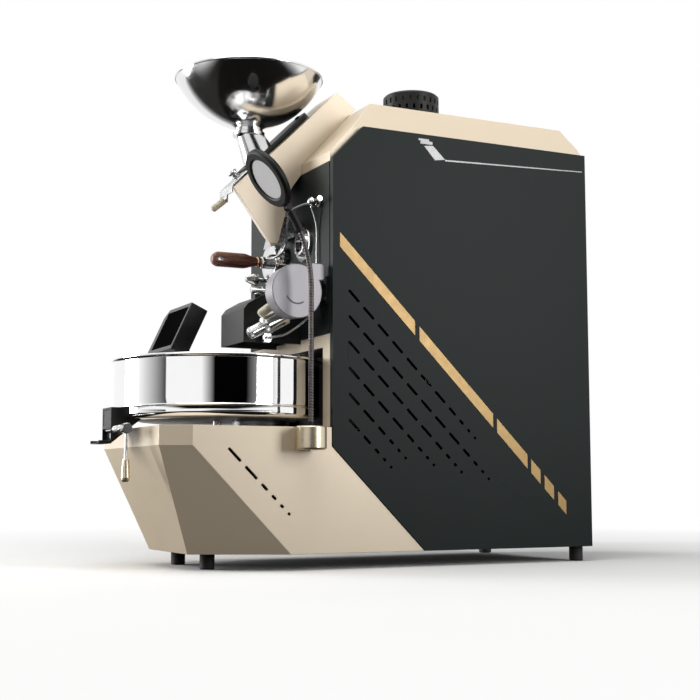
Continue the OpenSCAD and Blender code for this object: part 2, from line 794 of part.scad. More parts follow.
module hopper_neck() {
  color(steel) placed() difference() {
    union() {
      translate([0, -hopper_y, hopper_low - 14]) cylinder(r = 28, h = 14);
      translate([0, -hopper_y, hopper_low - 14]) cylinder(r = 31.5, h = 7);
      throat_line() cylinder(r1 = guide_half, r2 = 26, h = neck_l);
    }
    throat_line() cylinder(r = throat_r, h = 160, center = true);
    translate([0, -hopper_y, hopper_low - 10]) cylinder(r = throat_r, h = 20);
    on_slope() box(-60, 60, -90, 90, -40, guide_t);
    translate([0, -hopper_y, hopper_low]) cylinder(r = 60, h = 60);
  }
}

// Puts a turned piece on the front plate: its own z points to the front, from the plate's face
module on_front(x, z) {
  translate([x, plate_y, z]) rotate([90, 0, 0]) children();
}

module sight_glass_ring() {
  color(steel) placed() on_front(glass_x, glass_z) rotate_extrude()
    polygon([[pane_r, 0], [glass_r, 0], [glass_r, 5], [glass_r - 1, 6], [pane_r + 6, 6], [pane_r + 6, 12],
      [pane_r + 4, 14], [pane_r - 2, 14], [pane_r - 2, pane_t], [pane_r, pane_t]]);
}

module sight_glass() {
  color([0.6, 0.7, 0.7, 0.5]) placed() on_front(glass_x, glass_z) cylinder(r = pane_r, h = pane_t);
}

module trier_flange() {
  color(steel) placed() on_front(-trier_x, trier_z) rotate_extrude()
    polygon([[sleeve_r + run_gap, 0], [trier_flange_r, 0], [trier_flange_r, flange_t - 3],
      [trier_flange_r - 2, flange_t], [sleeve_r + run_gap, flange_t]]);
}

module trier_collar() {
  color(steel) placed() on_front(-trier_x, trier_z) rotate_extrude()
    polygon([[rod_r + run_gap, -4], [sleeve_r, -4], [sleeve_r, flange_t + 0.3], [12, flange_t + 0.3],
      [12, flange_t + 16], [10, flange_t + 18], [rod_r + run_gap, flange_t + 18]]);
}

module trier_rod() {
  color(steel) placed() on_front(-trier_x, trier_z) difference() {
    rotate_extrude() polygon([[0, -rod_in], [4, -rod_in], [rod_r, -rod_in + 4], [rod_r, ferrule_y],
      [9, ferrule_y], [10.5, ferrule_y + 2], [10.5, ferrule_y + 7], [8.5, ferrule_y + 9],
      [0, ferrule_y + 9]]);
    translate([0, 0, 4 - rod_in]) cylinder(r = rod_r - 1.4, h = rod_in - 20);
    translate([-rod_r, 1, 4 - rod_in]) cube([2 * rod_r, rod_r, rod_in - 20]);
  }
}

module trier_handle() {
  end_r = 15;
  color(wood) placed() on_front(-trier_x, trier_z) translate([0, 0, ferrule_y + 9]) difference() {
    intersection() {
      rotate([0, -90, 0]) linear_extrude(22, center = true)
        polygon(concat([[0, -8.5], [0, 8.5], [10, 9.5], [30, end_r]],
          [for (k = [6 : -1 : -6]) [handle_l - end_r + end_r * cos(k * 15), end_r * sin(k * 15)]],
          [[30, -end_r], [10, -9.5]]));
      translate([0, 0, -1]) linear_extrude(handle_l + 6)
        polygon([[-11, -9], [-6, -16], [6, -16], [11, -9], [11, 9], [6, 16], [-6, 16], [-11, 9]]);
    }
    translate([-20, 0, handle_l - 18]) rotate([0, 90, 0]) linear_extrude(40) {
      square([6, 7], center = true);
      for (k = [-3, 3]) translate([k, 0]) circle(d = 7, $fn = 24);
    }
  }
}

// Star-shaped hand nut standing on z = 0
module star_nut(r, h, lobes) {
  difference() {
    cylinder(r = r, h = h);
    for (i = [0 : lobes - 1]) rotate(i * 360 / lobes) translate([r + 0.6, 0, -1])
      cylinder(r = r * 0.22, h = h + 2, $fn = 24);
  }
}

module probe_fittings() {
  color(steel) placed() {
    on_front(gland[0], gland[2]) cylinder(r = 5, h = 10);
    on_front(gland[0], gland[2]) cylinder(r = 9, h = 3);
    translate(gland) {
      sphere(r = 9);
      rod_x(lead_r + 1, -16, 0);
      rod_x(3.2, 0, 36);
      rod_x(5, 30, 36);
      translate([0, 0, -12]) cylinder(r = lead_r + 1, h = 12);
    }
    on_front(bean_probe[0], bean_probe[1]) {
      cylinder(r = 14, h = 3);
      translate([0, 0, 3]) star_nut(18, 8, 12);
      translate([0, 0, 11]) cylinder(r = 8, h = 5);
      cylinder(r = lead_r + 1, h = bean_probe[2]);
    }
    on_front(28, 547) {
      cylinder(r = 2.5, h = 35);
      cylinder(r = 6.5, h = 9, $fn = 6);
    }
    on_front(-107, 537) rotate_extrude()
      polygon([[0, 0], [7, 0], [7, 3], [5, 3], [5, 22], [12.5, 24], [12.5, 30],
      [5, 48], [0, 48]]);
    translate([0, -door_y - 15, chute_z + 8]) {
      rod_x(4, chute_half, chute_half + 8);
      translate([chute_half + 7, 0, 0]) rotate([0, 90, 0]) star_nut(9.5, 10, 6);
      rod_x(lead_r + 1, chute_half + 17, chute_half + 25);
    }
    translate([chute_half - 11, -87, 0]) {
      translate([0, 0, door_z + 9]) cylinder(r = 5, h = 6);
      translate([0, 0, door_z + 17]) {
        rod_y(6.5, -13, 13);
        rod_y(7.6, 8, 12);
      }
    }
  }
}

// Point of a smooth curve through the points a, b, c, d, between b and c
function spline(a, b, c, d, t) = 0.5 * (2 * b + (c - a) * t + (2 * a - 5 * b + 4 * c - d) * t * t
  + (3 * b - a - 3 * c + d) * t * t * t);
function smooth_path(p, steps) = [for (i = [0 : len(p) - 2], k = [0 : steps - 1])
  spline(p[max(i - 1, 0)], p[i], p[i + 1], p[min(i + 2, len(p) - 1)], k / steps), p[len(p) - 1]];
function heading(p, i) = unit(p[min(i + 1, len(p) - 1)] - p[max(i - 1, 0)]);
function square_to(n, d) = unit(n - (n * d) * d);

// Round tube along the points p, with its radius given at each point
module tube_along(p, radii, sides) {
  last = len(p) - 1;
  side_dirs = [for (i = 0, n = square_to([1, 0.1, 0.2], heading(p, 0)); i <= last; i = i + 1,
    n = i <= last ? square_to(n, heading(p, i)) : n) n];
  rings = [for (i = [0 : last], k = [0 : sides - 1])
    p[i] + radii[i] * (cos(k * 360 / sides) * side_dirs[i] + sin(k * 360 / sides)
      * cross(heading(p, i), side_dirs[i]))];
  walls = [for (i = [0 : last - 1], k = [0 : sides - 1])
    let (a = i * sides + k, b = i * sides + (k + 1) % sides)
      each [[a, a + sides, b + sides], [a, b + sides, b]]];
  ends = [[for (k = [0 : sides - 1]) k], [for (k = [sides - 1 : -1 : 0]) last * sides + k]];
  polyhedron(rings, concat(walls, ends));
}

module probe_cable() {
  color(grey) placed() for (route = [bean_lead, chute_lead]) {
    path = smooth_path(route, 2);
    tube_along(path, [for (q = path) lead_r], 8);
  }
}

module discharge_chute() {
  inner = chute_half - sheet;
  color(black) placed() difference() {
    union() {
      profile_x(-chute_half, chute_half, chute_outline);
      box(chute_half - 17, chute_half - 5, -94, -80, door_z - 20, door_z + 9);
    }
    profile_x(-inner, inner, inset(chute_outline, sheet));
    box(-inner, inner, -chute_y + sheet, plate_y - sheet, chute_z - 1, chute_z + 2 * sheet);
    box(-inner, inner, plate_y - 2 * sheet, 1, chute_z - 1, door_port_z + door_port_h);
    translate([0, -door_y, door_z]) rod_x(axle_r + run_gap, -chute_half - 1, chute_half + 1);
  }
}

// Turns about the door's axle so that z points outwards, at an angle below the forward direction
module from_axle(fall) {
  translate([0, -door_y, door_z]) rotate([90 + fall, 0, 0]) children();
}

module door_axle() {
  color(steel) placed() {
    translate([0, -door_y, door_z]) {
      rod_x(axle_r, -chute_half - 4, can_x - can_d + 18);
      rod_x(axle_r + 3, -chute_half - 8, -chute_half - 0.5);
      rod_x(13, hub_x, hub_x + 14);
    }
    from_axle(lever_fall) translate([hub_x + 7, 0, 0]) cylinder(r = 4, h = 31);
    from_axle(97) translate([hub_x - 10, -7, -7]) cube([10, 14, 50]);
    translate([hub_x - 6, -door_y - 2, door_z - 40]) rotate([90 + weight_fall, 0, 0]) rotate_extrude()
      polygon([[0, -14], [12, -14], [18, -6], [18, 38], [15, 42], [11.5, 44], [11.5, 70], [8, 75], [0, 75]]);
  }
}

module door_grip() {
  color(cream) placed() from_axle(lever_fall) translate([hub_x + 7, 0, 31]) rotate_extrude()
    polygon([[0, 0], [5, 0], [7, 3], [8.5, 12], [8.5, 30], [6, 35], [0, 36]]);
}

module door_flap() {
  reach = chute_half - sheet - 1;
  color(charcoal) placed() translate([-reach, -door_y, door_z]) rotate([90, 0, 90])
    linear_extrude(2 * reach) difference() {
      union() {
        circle(r = axle_r + 3);
        rotate(-flap_fall) translate([0, -1.25]) square([flap_l, 2.5]);
      }
      circle(r = axle_r);
    }
}

module actuator_can() {
  color(grey) placed() difference() {
    union() {
      translate([can_x - can_d, -door_y, door_z]) rotate([0, 90, 0]) rotate_extrude($fn = 96)
        polygon([[0, 0], [can_r - 4, 0], [can_r - 1.5, 2.5], [can_r - 1.5, can_d - 5], [can_r, can_d - 4.5],
          [can_r, can_d - 1], [can_r - 1, can_d], [0, can_d]]);
      translate([can_x - 5, -door_y, door_z]) rotate([90, 0, 90]) linear_extrude(5) {
        translate([can_r / 2, ear_low]) square([ear_y - ear_r - can_r / 2, ear_h]);
        translate([ear_y - ear_r - 1, ear_low + ear_r]) square([ear_r + 1, ear_h - 2 * ear_r]);
        for (k = [ear_low + ear_r, ear_low + ear_h - ear_r]) translate([ear_y - ear_r, k]) circle(r = ear_r);
      }
    }
    translate([0, -door_y, door_z]) rod_x(axle_r + run_gap, can_x - can_d - 1, can_x - can_d + 20);
    intersection() {
      translate([can_x - 0.6, -door_y, door_z]) rotate([0, 90, 0]) tube_z(24, 22.6, 0, 2);
      box(can_x - 1, can_x + 1, -door_y - 20, -door_y + 12, door_z - 40, door_z);
    }
  }
}

module actuator_bracket() {
  color(black) placed() {
    box(bracket_x, inner_half - 3, plate_y - 5, plate_y, door_z - 20, door_z + 30);
    difference() {
      box(bracket_x, can_x - 5, plate_y - 35, plate_y - 5, door_z - 14, door_z + 22);
      translate([0, -door_y, door_z]) rod_x(can_r - 1.5, bracket_x - 1, can_x);
    }
    for (k = [-12, 16]) translate([can_x - 1, plate_y - 5, door_z + k]) rotate([90, 0, 0])
      cylinder(r = 4, h = 3, $fn = 6);
  }
}

module lamp_base() {
  color(champagne) placed() {
    translate([lamp_x, -lamp_y, base_z - cup_h]) rotate_extrude()
      polygon([[0, 0], [cup_r - 3, 0], [cup_r, 3], [cup_r, cup_h - 2], [cup_r - 2, cup_h],
        [goose_r + run_gap, cup_h],
        [goose_r + run_gap, 8], [0, 8]]);
    box(base_w / 2, lamp_x - 12, -lamp_y - 14, -lamp_y + 14, base_z - cup_h + 6, base_z - 6);
  }
}

// Point of the lamp arm's centre line, s along it from the start of its bend
function goose_point(s) = let (a = s / goose_bend * 180 / PI) s < 0 ? [lamp_x, -lamp_y, goose_z + s]
  : [lamp_x, -lamp_y - goose_bend * (1 - cos(a)), goose_z + goose_bend * sin(a)];

// Turns to the lamp head's own directions, with z out of its glass, about the head's hinge
module at_head_hinge() {
  translate(goose_point(goose_bend * goose_angle * PI / 180)) rotate([0, 90 + head_fall, head_turn - 90])
    children();
}

module lamp_arm() {
  start = base_z + 6 - goose_z;
  stop = goose_bend * (sleeve_angle + 1) * PI / 180;
  ribs = round((stop - start) / rib_pitch);
  steps = [for (i = [0 : 2 * ribs]) start + (stop - start) * i / (2 * ribs)];
  color(grey) placed() {
    translate([lamp_x, -lamp_y, base_z - cup_h + 8.3]) cylinder(r = goose_r, h = cup_h);
    tube_along([for (s = steps) goose_point(s)], [for (i = [0 : 2 * ribs]) goose_r - (i % 2) * 0.9], 12);
    translate([lamp_x, -lamp_y - goose_bend, goose_z]) rotate([90, 0, 90]) rotate(sleeve_angle)
      rotate_extrude(angle = goose_angle - sleeve_angle - 1.8, $fn = 96) translate([goose_bend, 0])
        circle(r = 7.5, $fn = 32);
    difference() {
      union() {
        at_head_hinge() rotate([90, 0, 0]) cylinder(r = 4.8, h = 6, center = true);
        translate(goose_point(goose_bend * goose_angle * PI / 180)) rotate([goose_angle, 0, 0])
          translate([0, 0, -12]) cylinder(r = 2, h = 12);
      }
      at_head_hinge() rotate([90, 0, 0]) cylinder(r = 2.4 + run_gap, h = 20, center = true);
    }
  }
}

module lamp_head() {
  half = head_t / 2;
  color(black) placed() at_head_hinge() {
    translate([-head_out, 0, 2]) rotate_extrude($fn = 96)
      polygon([[0, -half + 2], [head_r * 0.5, -half], [head_r - 7, -half], [head_r, -half + 4],
        [head_r, half - 4],
        [head_r - 4, half], [glow_r + 3, half], [glow_r, half - 2], [glow_r, half - 5], [0, half - 5]]);
    for (side = [-1, 1]) translate([0, side * 5.65, 0]) {
      rotate([90, 0, 0]) cylinder(r = 6, h = 4.7, center = true);
      translate([-8, -2.35, -4]) cube([8, 4.7, 8]);
    }
    rotate([90, 0, 0]) cylinder(r = 2.4, h = 12, center = true);
  }
}

module lamp_diffuser() {
  color([1, 1, 1]) placed() at_head_hinge() translate([-head_out, 0, 2 + head_t / 2 - 5])
    cylinder(r = glow_r - 0.1, h = 2);
}

// Turns to the console's own directions, from its top front right corner
// Machine place, in the plane of the sides, of a point of the leaning console
function on_case(y, z) = [y * cos(console_lean) + z * sin(console_lean) - console_y,
  z * cos(console_lean) - y * sin(console_lean) + console_z];

module at_console() {
  translate([-console_x, -console_y, console_z]) rotate([-console_lean, 0, 0]) children();
}

module console() {
  color(black) placed() {
    difference() {
      at_console() rotate([-90, 0, 0]) linear_extrude(console_t)
        polygon([[0, 3], [0, console_h - 3], [-3, console_h], [3 - console_w, console_h],
          [-console_w, console_h - 3],
          [-console_w, 18], [18 - console_w, 0], [-3, 0]]);
      at_console() screen_block(screen_t);
    }
    for (side = [-1, 1]) translate([side * 9.3 - 3 - arm_x, 0, 0]) rotate([90, 0, 90]) linear_extrude(6) {
      translate([-pivot_y, arm_height]) circle(r = arm_r);
      polygon([on_case(console_t - 1, 4 - console_h), on_case(console_t - 1, 30 - console_h),
        [6 - pivot_y, arm_height + 2], [-pivot_y - 2, arm_height - 6]]);
    }
    translate([-arm_x, -pivot_y, arm_height]) rod_x(3, -13.5, 13.5);
  }
}

// Screen sunk into the console's face
module screen_block(t) {
  box(20 - console_w, -9, -1, t, 9 - console_h, -9);
}

module console_screen() {
  color([0.35, 0.37, 0.4]) placed() at_console() intersection() {
    screen_block(screen_t);
    box(-console_w, 0, 0, screen_t, -console_h, 0);
  }
}

module console_arm() {
  color(black) placed() translate([-arm_x, 0, arm_height]) {
    rod_y(arm_r, arm_r + 2 - pivot_y, sheet);
    rod_y(13, -4, 0);
    difference() {
      union() {
        translate([0, -pivot_y, 0]) rod_x(arm_r, -6, 6);
        box(-6, 6, -pivot_y, arm_r + 3 - pivot_y, -5, 5);
      }
      translate([0, -pivot_y, 0]) rod_x(3 + run_gap, -7, 7);
    }
  }
}

module pan_motors() {
  top = base_z - sheet;
  color(grey) placed() {
    translate([0, -duct_y, 0]) rotate_extrude() polygon([[0, sheet + plate_t], [33, sheet + plate_t],
      [35, sheet + plate_t + 2], [35, 54], [31, 60], [fan_shaft_r + run_gap, 60],
      [fan_shaft_r + run_gap, 32], [0, 32]]);
    translate([0, -pan_y, 0]) difference() {
      union() {
        translate([0, 0, 152]) cylinder(r = 28, h = 50);
        box(-30, 30, -30, 30, top - 25, top);
      }
      translate([0, 0, 200]) cylinder(r = agitator_shaft_r + run_gap, h = 30);
    }
  }
}

module cooling_duct() {
  color(grey) placed() difference() {
    union() {
      translate([0, -duct_y, 60]) cylinder(r = scroll_r, h = 90);
      translate([0, -duct_y, 149]) cylinder(r = duct_r + 3, h = pan_z - 149);
      box(-air_half, air_half, -duct_y, rear_y, fan_mid_z - 30, fan_mid_z + 30);
    }
    translate([0, -duct_y, 60 + sheet]) cylinder(r = scroll_r - sheet, h = 90 - 2 * sheet);
    translate([0, -duct_y, 140]) cylinder(r = duct_r, h = 120);
    translate([0, -duct_y, 50]) cylinder(r = fan_shaft_r + 2, h = 20);
    box(sheet - air_half, air_half - sheet, -duct_y, rear_y + 1, fan_mid_z - 28, fan_mid_z + 28);
  }
}

module cooling_impeller() {
  color(grey) placed() translate([0, -duct_y, 0]) {
    translate([0, 0, 33]) cylinder(r = fan_shaft_r, h = 41);
    translate([0, 0, 72]) cylinder(r = 75, h = 3);
    translate([0, 0, 72]) cylinder(r = 12, h = 24);
    tube_z(75, 60, 133, 136);
    for (i = [0 : 11]) rotate(i * 30) translate([42, 0, 74]) rotate(-35) cube([36, 2, 60]);
  }
}

module cooling_pan() {
  wall_in = pan_wall_r - pan_t;
  bend = 10;
  bend_out = [for (i = [0 : 6]) [pan_wall_r - bend + bend * sin(i * 15), pan_z + bend - bend * cos(i * 15)]];
  bend_in = [for (i = [6 : -1 : 0]) [pan_wall_r - bend + (bend - pan_t) * sin(i * 15),
    pan_z + bend - (bend - pan_t) * cos(i * 15)]];
  color(steel) placed() {
    difference() {
      translate([0, -pan_y, 0]) rotate_extrude($fn = 128) {
        polygon(concat([[agitator_shaft_r + 2, pan_z]], bend_out,
          [[pan_wall_r, pan_top - rim_r], [wall_in, pan_top - rim_r]],
          bend_in, [[agitator_shaft_r + 2, pan_z + pan_t]]));
        polygon([[wall_in, pan_top - rim_r - pan_t], [pan_r - rim_r, pan_top - rim_r - pan_t],
          [pan_r - rim_r, pan_top - rim_r],
          [wall_in, pan_top - rim_r]]);
        translate([pan_r - rim_r, pan_top - rim_r]) circle(r = rim_r, $fn = 24);
        polygon([[pan_wall_r - 0.5, bead_z - 2], [pan_wall_r, bead_z - 2], [pan_wall_r + 1.2, bead_z - 0.8],
          [pan_wall_r + 1.2, bead_z + 0.8], [pan_wall_r, bead_z + 2], [pan_wall_r - 0.5, bead_z + 2]]);
        polygon([[wall_in - 4.5, sieve_z - 2], [wall_in + 0.5, sieve_z - 5], [wall_in + 0.5, sieve_z],
          [wall_in - 4.5, sieve_z]]);
      }
      translate([0, -duct_y, pan_z - 1]) cylinder(r = duct_r, h = 5);
      box(-outlet_w / 2, outlet_w / 2, -big, throat_back, 0, outlet_top);
      box(-collar_half, collar_half, collar_front, collar_back, outlet_top - 1, sieve_z + 1);
    }
    for (x = [-117, 117], y = [-117, 117]) translate([x, y - pan_y, base_z])
      cylinder(r = 9, h = pan_z - base_z);
  }
}

module pan_sieve() {
  color(steel) placed() difference() {
    translate([0, -pan_y, sieve_z]) linear_extrude(sieve_t) difference() {
      circle(r = pan_wall_r - pan_t - 0.3, $fn = 128);
      circle(r = agitator_shaft_r + 2);
      for (r = [40 : 25 : 165]) {
        n = round(2 * PI * r / (sieve_slot + 10));
        for (i = [0 : n - 1]) rotate(i * 360 / n) translate([0, r]) {
          square([sieve_slot - sieve_slot_w, sieve_slot_w], center = true);
          for (e = [-1, 1]) translate([e * (sieve_slot - sieve_slot_w) / 2, 0])
            circle(d = sieve_slot_w, $fn = 24);
        }
      }
    }
    box(sheet - collar_half, collar_half - sheet, collar_front + sheet, collar_back - sheet, sieve_z - 1,
      sieve_z + sieve_t + 1);
  }
}

module agitator() {
  color(steel) placed() translate([0, -pan_y, 0]) {
    rotate_extrude() polygon([[0, 201], [agitator_shaft_r, 201], [agitator_shaft_r, sieve_z + sieve_t + 2],
      [22, sieve_z + sieve_t + 2], [22, sieve_z + 46], [16, sieve_z + 52], [0, sieve_z + 54]]);
    for (i = [0 : arm_count - 1]) rotate(i * 360 / arm_count + 90) {
      translate([0, 0, sieve_z + arm_z]) rod_x(6, 15, arm_len);
      for (k = [0, 1]) translate([75 + i * 14 + k * 60, 0, sieve_z + sieve_t + 1.5]) rotate(k == 0 ? 40 : 30)
        translate([-26, -1, 0]) cube([52, 2, arm_z - 2]);
    }
  }
}

module outlet_box() {
  half = outlet_w / 2;
  color(black) placed() {
    difference() {
      union() {
        profile_x(-half, half, outlet_outline);
        box(-collar_half, collar_half, collar_front, collar_back, outlet_top - 1, sieve_z);
        box(-half, half, -lip_reach, -outlet_y, outlet_z + 2, outlet_z + 8);
      }
      profile_x(sheet - half, half - sheet, inset(outlet_outline, sheet));
      box(sheet - collar_half, collar_half - sheet, collar_front + sheet, collar_back - sheet,
        outlet_top - 5, sieve_z + 1);
      box(sheet - half, half - sheet, -lip_reach - 1, -outlet_y, outlet_z + 4, outlet_z + 9);
      box(sheet - half, half - sheet, -outlet_y - 1, sheet - outlet_y + 1, outlet_z + 4, flap_z + 2);
      box(6 - half, half - 6, -outlet_y - 1, 0.8 - outlet_y, flap_z + 8, outlet_top - 4);
      translate([0, -flap_y, flap_z]) rod_x(flap_axle_r + run_gap, -half - 1, half + 1);
    }
    box(1 - half, half - 1, 1 - outlet_y, 4 - flap_y, flap_z + 5.5, flap_z + 7.5);
  }
}

module outlet_flap() {
  reach = outlet_w / 2 - sheet - 0.5;
  color(steel) placed() translate([0, -flap_y, flap_z]) {
    rod_x(flap_axle_r, -outlet_w / 2 - 4, lever_x);
    rod_x(flap_axle_r + 1, -reach, reach);
    box(-reach, reach, -1, 1, -14.6, 0);
  }
}

module outlet_lever() {
  turns = 9;
  spring_x = outlet_w / 2 + 2;
  spring_l = lever_x - 10.5 - spring_x;
  steps = turns * 8;
  echo(least_gap_between_turns = spring_l / turns - 2 * spring_wire_r);
  color(steel) placed() translate([0, -flap_y, flap_z]) {
    difference() {
      union() {
        rod_x(9, lever_x - 11, lever_x + 5);
        for (i = [0 : 11]) rotate([i * 30, 0, 0]) translate([lever_x - 9, 8.4, -0.7]) cube([10, 1.4, 1.4]);
        translate([lever_x - 2, 0, -lever_len - 6]) cylinder(r = 3, h = lever_len);
      }
      rod_x(flap_axle_r, lever_x - 12, lever_x);
    }
    tube_along([for (i = [0 : steps]) [spring_x + spring_l * i / steps, spring_r * cos(i * 45),
      spring_r * sin(i * 45)]],
      [for (i = [0 : steps]) spring_wire_r], 6);
  }
}

module outlet_grip() {
  color(champagne) placed() translate([lever_x - 2, -flap_y, flap_z - lever_len - 6]) rotate([180, 0, 0])
    rotate_extrude()
    polygon([[0, 0], [5.5, 0], [6, 2], [8, lever_grip - 8], [7, lever_grip - 2], [5, lever_grip],
      [0, lever_grip]]);
}

// Puts a turned piece on an axis from front to back: its own z points to the rear
module on_axis(x, z) {
  translate([x, 0, z]) rotate([-90, 0, 0]) children();
}

function involute(a) = tan(a) * 180 / PI - a;
// Half the angle that a tooth fills at radius r
function half_tooth(n, r) = let (pitch_r = gear_m * n / 2)
  90 / n - tooth_play / pitch_r * 180 / PI + involute(20) - involute(acos(min(1, pitch_r * cos(20) / r)));

module spur_gear(n, t) {
  pitch_r = gear_m * n / 2;
  radii = [pitch_r - 1.25 * gear_m, pitch_r - gear_m / 2, pitch_r + gear_m * 0.3, pitch_r + gear_m];
  linear_extrude(t) polygon([for (i = [0 : n - 1], k = [-3 : 4])
    let (j = k <= 0 ? k + 3 : 4 - k, side = k <= 0 ? -1 : 1, a = i * 360 / n + side
      * half_tooth(n, radii[j]))
      radii[j] * [cos(a), sin(a)]]);
}

module drum() {
  color(steel) placed() on_axis(0, drum_z) {
    tube_z(drum_r, drum_r - drum_t, drum_y, drum_y + drum_l);
    for (y = [drum_y, drum_y + drum_l - 6]) tube_z(drum_r - drum_t + 0.5, drum_r - 9, y, y + 3);
    difference() {
      translate([0, 0, drum_y + drum_l - 3]) cylinder(r = drum_r - drum_t + 0.5, h = 3);
      for (r = [38, 62, 86], i = [0 : r / 38 * 6 - 1]) rotate(i * 360 / floor(r / 38 * 6))
        translate([r, 0, drum_y]) cylinder(r = 5, h = drum_l);
    }
    translate([0, 0, plate_y - 8]) cylinder(r = shaft_r, h = gear_y + gear_t - plate_y + 8);
    for (y = [150, 290]) translate([0, 0, y]) {
      cylinder(r = 18, h = 22);
      for (i = [0 : 3]) rotate(i * 90 + 45) translate([12, -6, 7]) cube([drum_r - drum_t - 11, 12, 8]);
    }
    for (i = [0 : 3]) rotate(i * 90) translate([drum_r - drum_t - 14, -1.5, drum_y + 2])
      cube([15, 3, drum_l - 6]);
  }
}

module drum_gear() {
  color(steel) placed() on_axis(0, drum_z) translate([0, 0, gear_y]) difference() {
    spur_gear(drum_teeth, gear_t);
    translate([0, 0, -1]) cylinder(r = shaft_r, h = gear_t + 2);
    for (i = [0 : 5]) rotate(i * 60) translate([40, 0, -1]) cylinder(r = 13, h = gear_t + 2);
  }
}

module motor_pinion() {
  color(steel) placed() on_axis(0, pinion_z) {
    rotate(180 / pinion_teeth) translate([0, 0, gear_y]) spur_gear(pinion_teeth, gear_t);
    translate([0, 0, gear_y - 3]) cylinder(r = pinion_shaft_r, h = 42);
  }
}

module drum_bearings() {
  color(steel) placed() on_axis(0, drum_z) {
    rotate_extrude() polygon([[0, plate_y - 12], [16, plate_y - 12], [20, plate_y - 9], [20, plate_y],
      [shaft_r + run_gap, plate_y],
      [shaft_r + run_gap, plate_y - 8.3], [0, plate_y - 8.3]]);
    tube_z(22, shaft_r + run_gap, bulkhead_y + bulkhead_t, gear_y - 2);
  }
}

module drum_motor() {
  plate = gear_y + gear_t + 4;
  color(black) placed() on_axis(0, pinion_z) difference() {
    union() {
      translate([0, 0, plate]) linear_extrude(4)
        polygon([[-70, 14], [-70, -12], [-42, -38], [42, -38], [70, -12], [70, 14],
        [40, 40], [-40, 40]]);
      translate([0, 0, plate + 4]) cylinder(r = 36, h = 88);
      translate([0, 0, plate + 92]) cylinder(r = 30, h = 6);
      for (p = motor_posts) translate([p[0], -p[1], bulkhead_y + bulkhead_t])
        cylinder(r = 5, h = plate - bulkhead_y - bulkhead_t);
    }
    translate([0, 0, plate - 1]) cylinder(r = pinion_shaft_r + run_gap, h = 24);
    for (i = [0 : 11]) rotate(i * 30) translate([35, -1.5, plate + 16]) cube([4, 3, 60]);
  }
}

module roast_chamber() {
  tray = 90;
  color(grey) placed() difference() {
    union() {
      on_axis(0, drum_z) translate([0, 0, sheet]) cylinder(r = chamber_r + 3, h = bulkhead_y - sheet,
        $fn = 128);
      box(-tray, tray, tray_front, chamber_back, tray_z, drum_z - 60);
      translate([0, chimney_y, drum_z + 60]) cylinder(r = stack_r + sheet, h = hood_z - drum_z - 60);
    }
    on_axis(0, drum_z) {
      translate([0, 0, 1]) cylinder(r = chamber_r, h = chamber_back, $fn = 128);
      translate([0, 0, chamber_back + 4]) cylinder(r = chamber_r, h = 30, $fn = 128);
      translate([0, 0, chamber_back - 2]) cylinder(r = shaft_r + 4, h = 10);
    }
    box(sheet - tray, tray - sheet, tray_front + sheet, chamber_back - sheet, tray_z + sheet, drum_z);
    translate([0, chimney_y, drum_z]) cylinder(r = stack_r, h = big);
    for (x = heater_legs) translate([x, 0, heater_z])
      rod_y(heater_r, chamber_back - 7, chamber_back + 8);
  }
  color(grey) placed() translate([0, chimney_y, 0]) {
    difference() {
      union() {
        translate([0, 0, fan_z - 50]) cylinder(r = 18, h = 50);
        for (i = [0 : 2]) rotate(i * 120 + 30) box(15, stack_r + 0.5, -3, 3, fan_z - 40, fan_z - 20);
      }
      translate([0, 0, fan_z - 20]) cylinder(r = vent_shaft_r + run_gap, h = 30);
    }
  }
}

module heater() {
  color(black) placed() {
    for (i = [0 : 2 : 4]) {
      mid = (heater_legs[i] + heater_legs[i + 1]) / 2;
      for (k = [i, i + 1]) translate([heater_legs[k], 0, heater_z])
        rod_y(heater_r, tray_front + 24, chamber_back + 8);
      translate([mid, tray_front + 24, heater_z]) rotate([0, 0, 180]) rotate_extrude(angle = 180)
        translate([heater_legs[i + 1] - mid, 0])
        circle(r = heater_r, $fn = 24);
    }
    box(-64, 64, chamber_back, chamber_back + 14, heater_z - 8, heater_z + 8);
  }
}

module chimney_cap() {
  color(black) placed() translate([0, chimney_y, 0]) difference() {
    rotate_extrude($fn = 96) polygon([[cap_r - 2, hood_z], [cap_r, hood_z], [cap_r, cap_z - 4],
      [cap_r - 4, cap_z], [0, cap_z],
      [0, cap_z - 2], [cap_r - 5, cap_z - 2], [cap_r - 2, cap_z - 5]]);
    for (row = [0, 1], i = [0 : 23]) rotate(i * 15 + row * 7.5)
      translate([cap_r - 5, -2.5, cap_z - 22 - row * 17]) cube([10, 5, 10]);
  }
}

module exhaust_impeller() {
  color(grey) placed() translate([0, chimney_y, fan_z]) {
    translate([0, 0, -19]) cylinder(r = vent_shaft_r, h = 40);
    translate([0, 0, 3]) cylinder(r = 13, h = 28);
    intersection() {
      translate([0, 0, -10]) cylinder(r = stack_r - 4, h = 60);
      for (i = [0 : 5]) rotate(i * 60) translate([10, 0, 17]) rotate([38, 0, 0]) translate([0, -15, -1])
        cube([50, 30, 2]);
    }
  }
}

module power_inlet() {
  color(black) placed() translate([inlet_x, 0, inlet_z]) {
    difference() {
      box(-socket_w / 2, socket_w / 2, body_l - 32, body_l, -socket_h / 2, socket_h / 2);
      box(-13, 13, body_l - 18, body_l + 1, -9, 9);
    }
    for (p = [[-7, -2], [0, 2], [7, -2]]) box(p[0] - 1, p[0] + 1, body_l - 19, body_l - 3, p[1] - 3,
      p[1] + 3);
  }
}

module button_head(r) {
  rotate_extrude($fn = 32) polygon([[0, 0], [r, 0], [r, 1], [r * 0.6, 2.4], [r * 0.45, 2.4],
    [r * 0.4, 1.4], [0, 1.4]]);
}

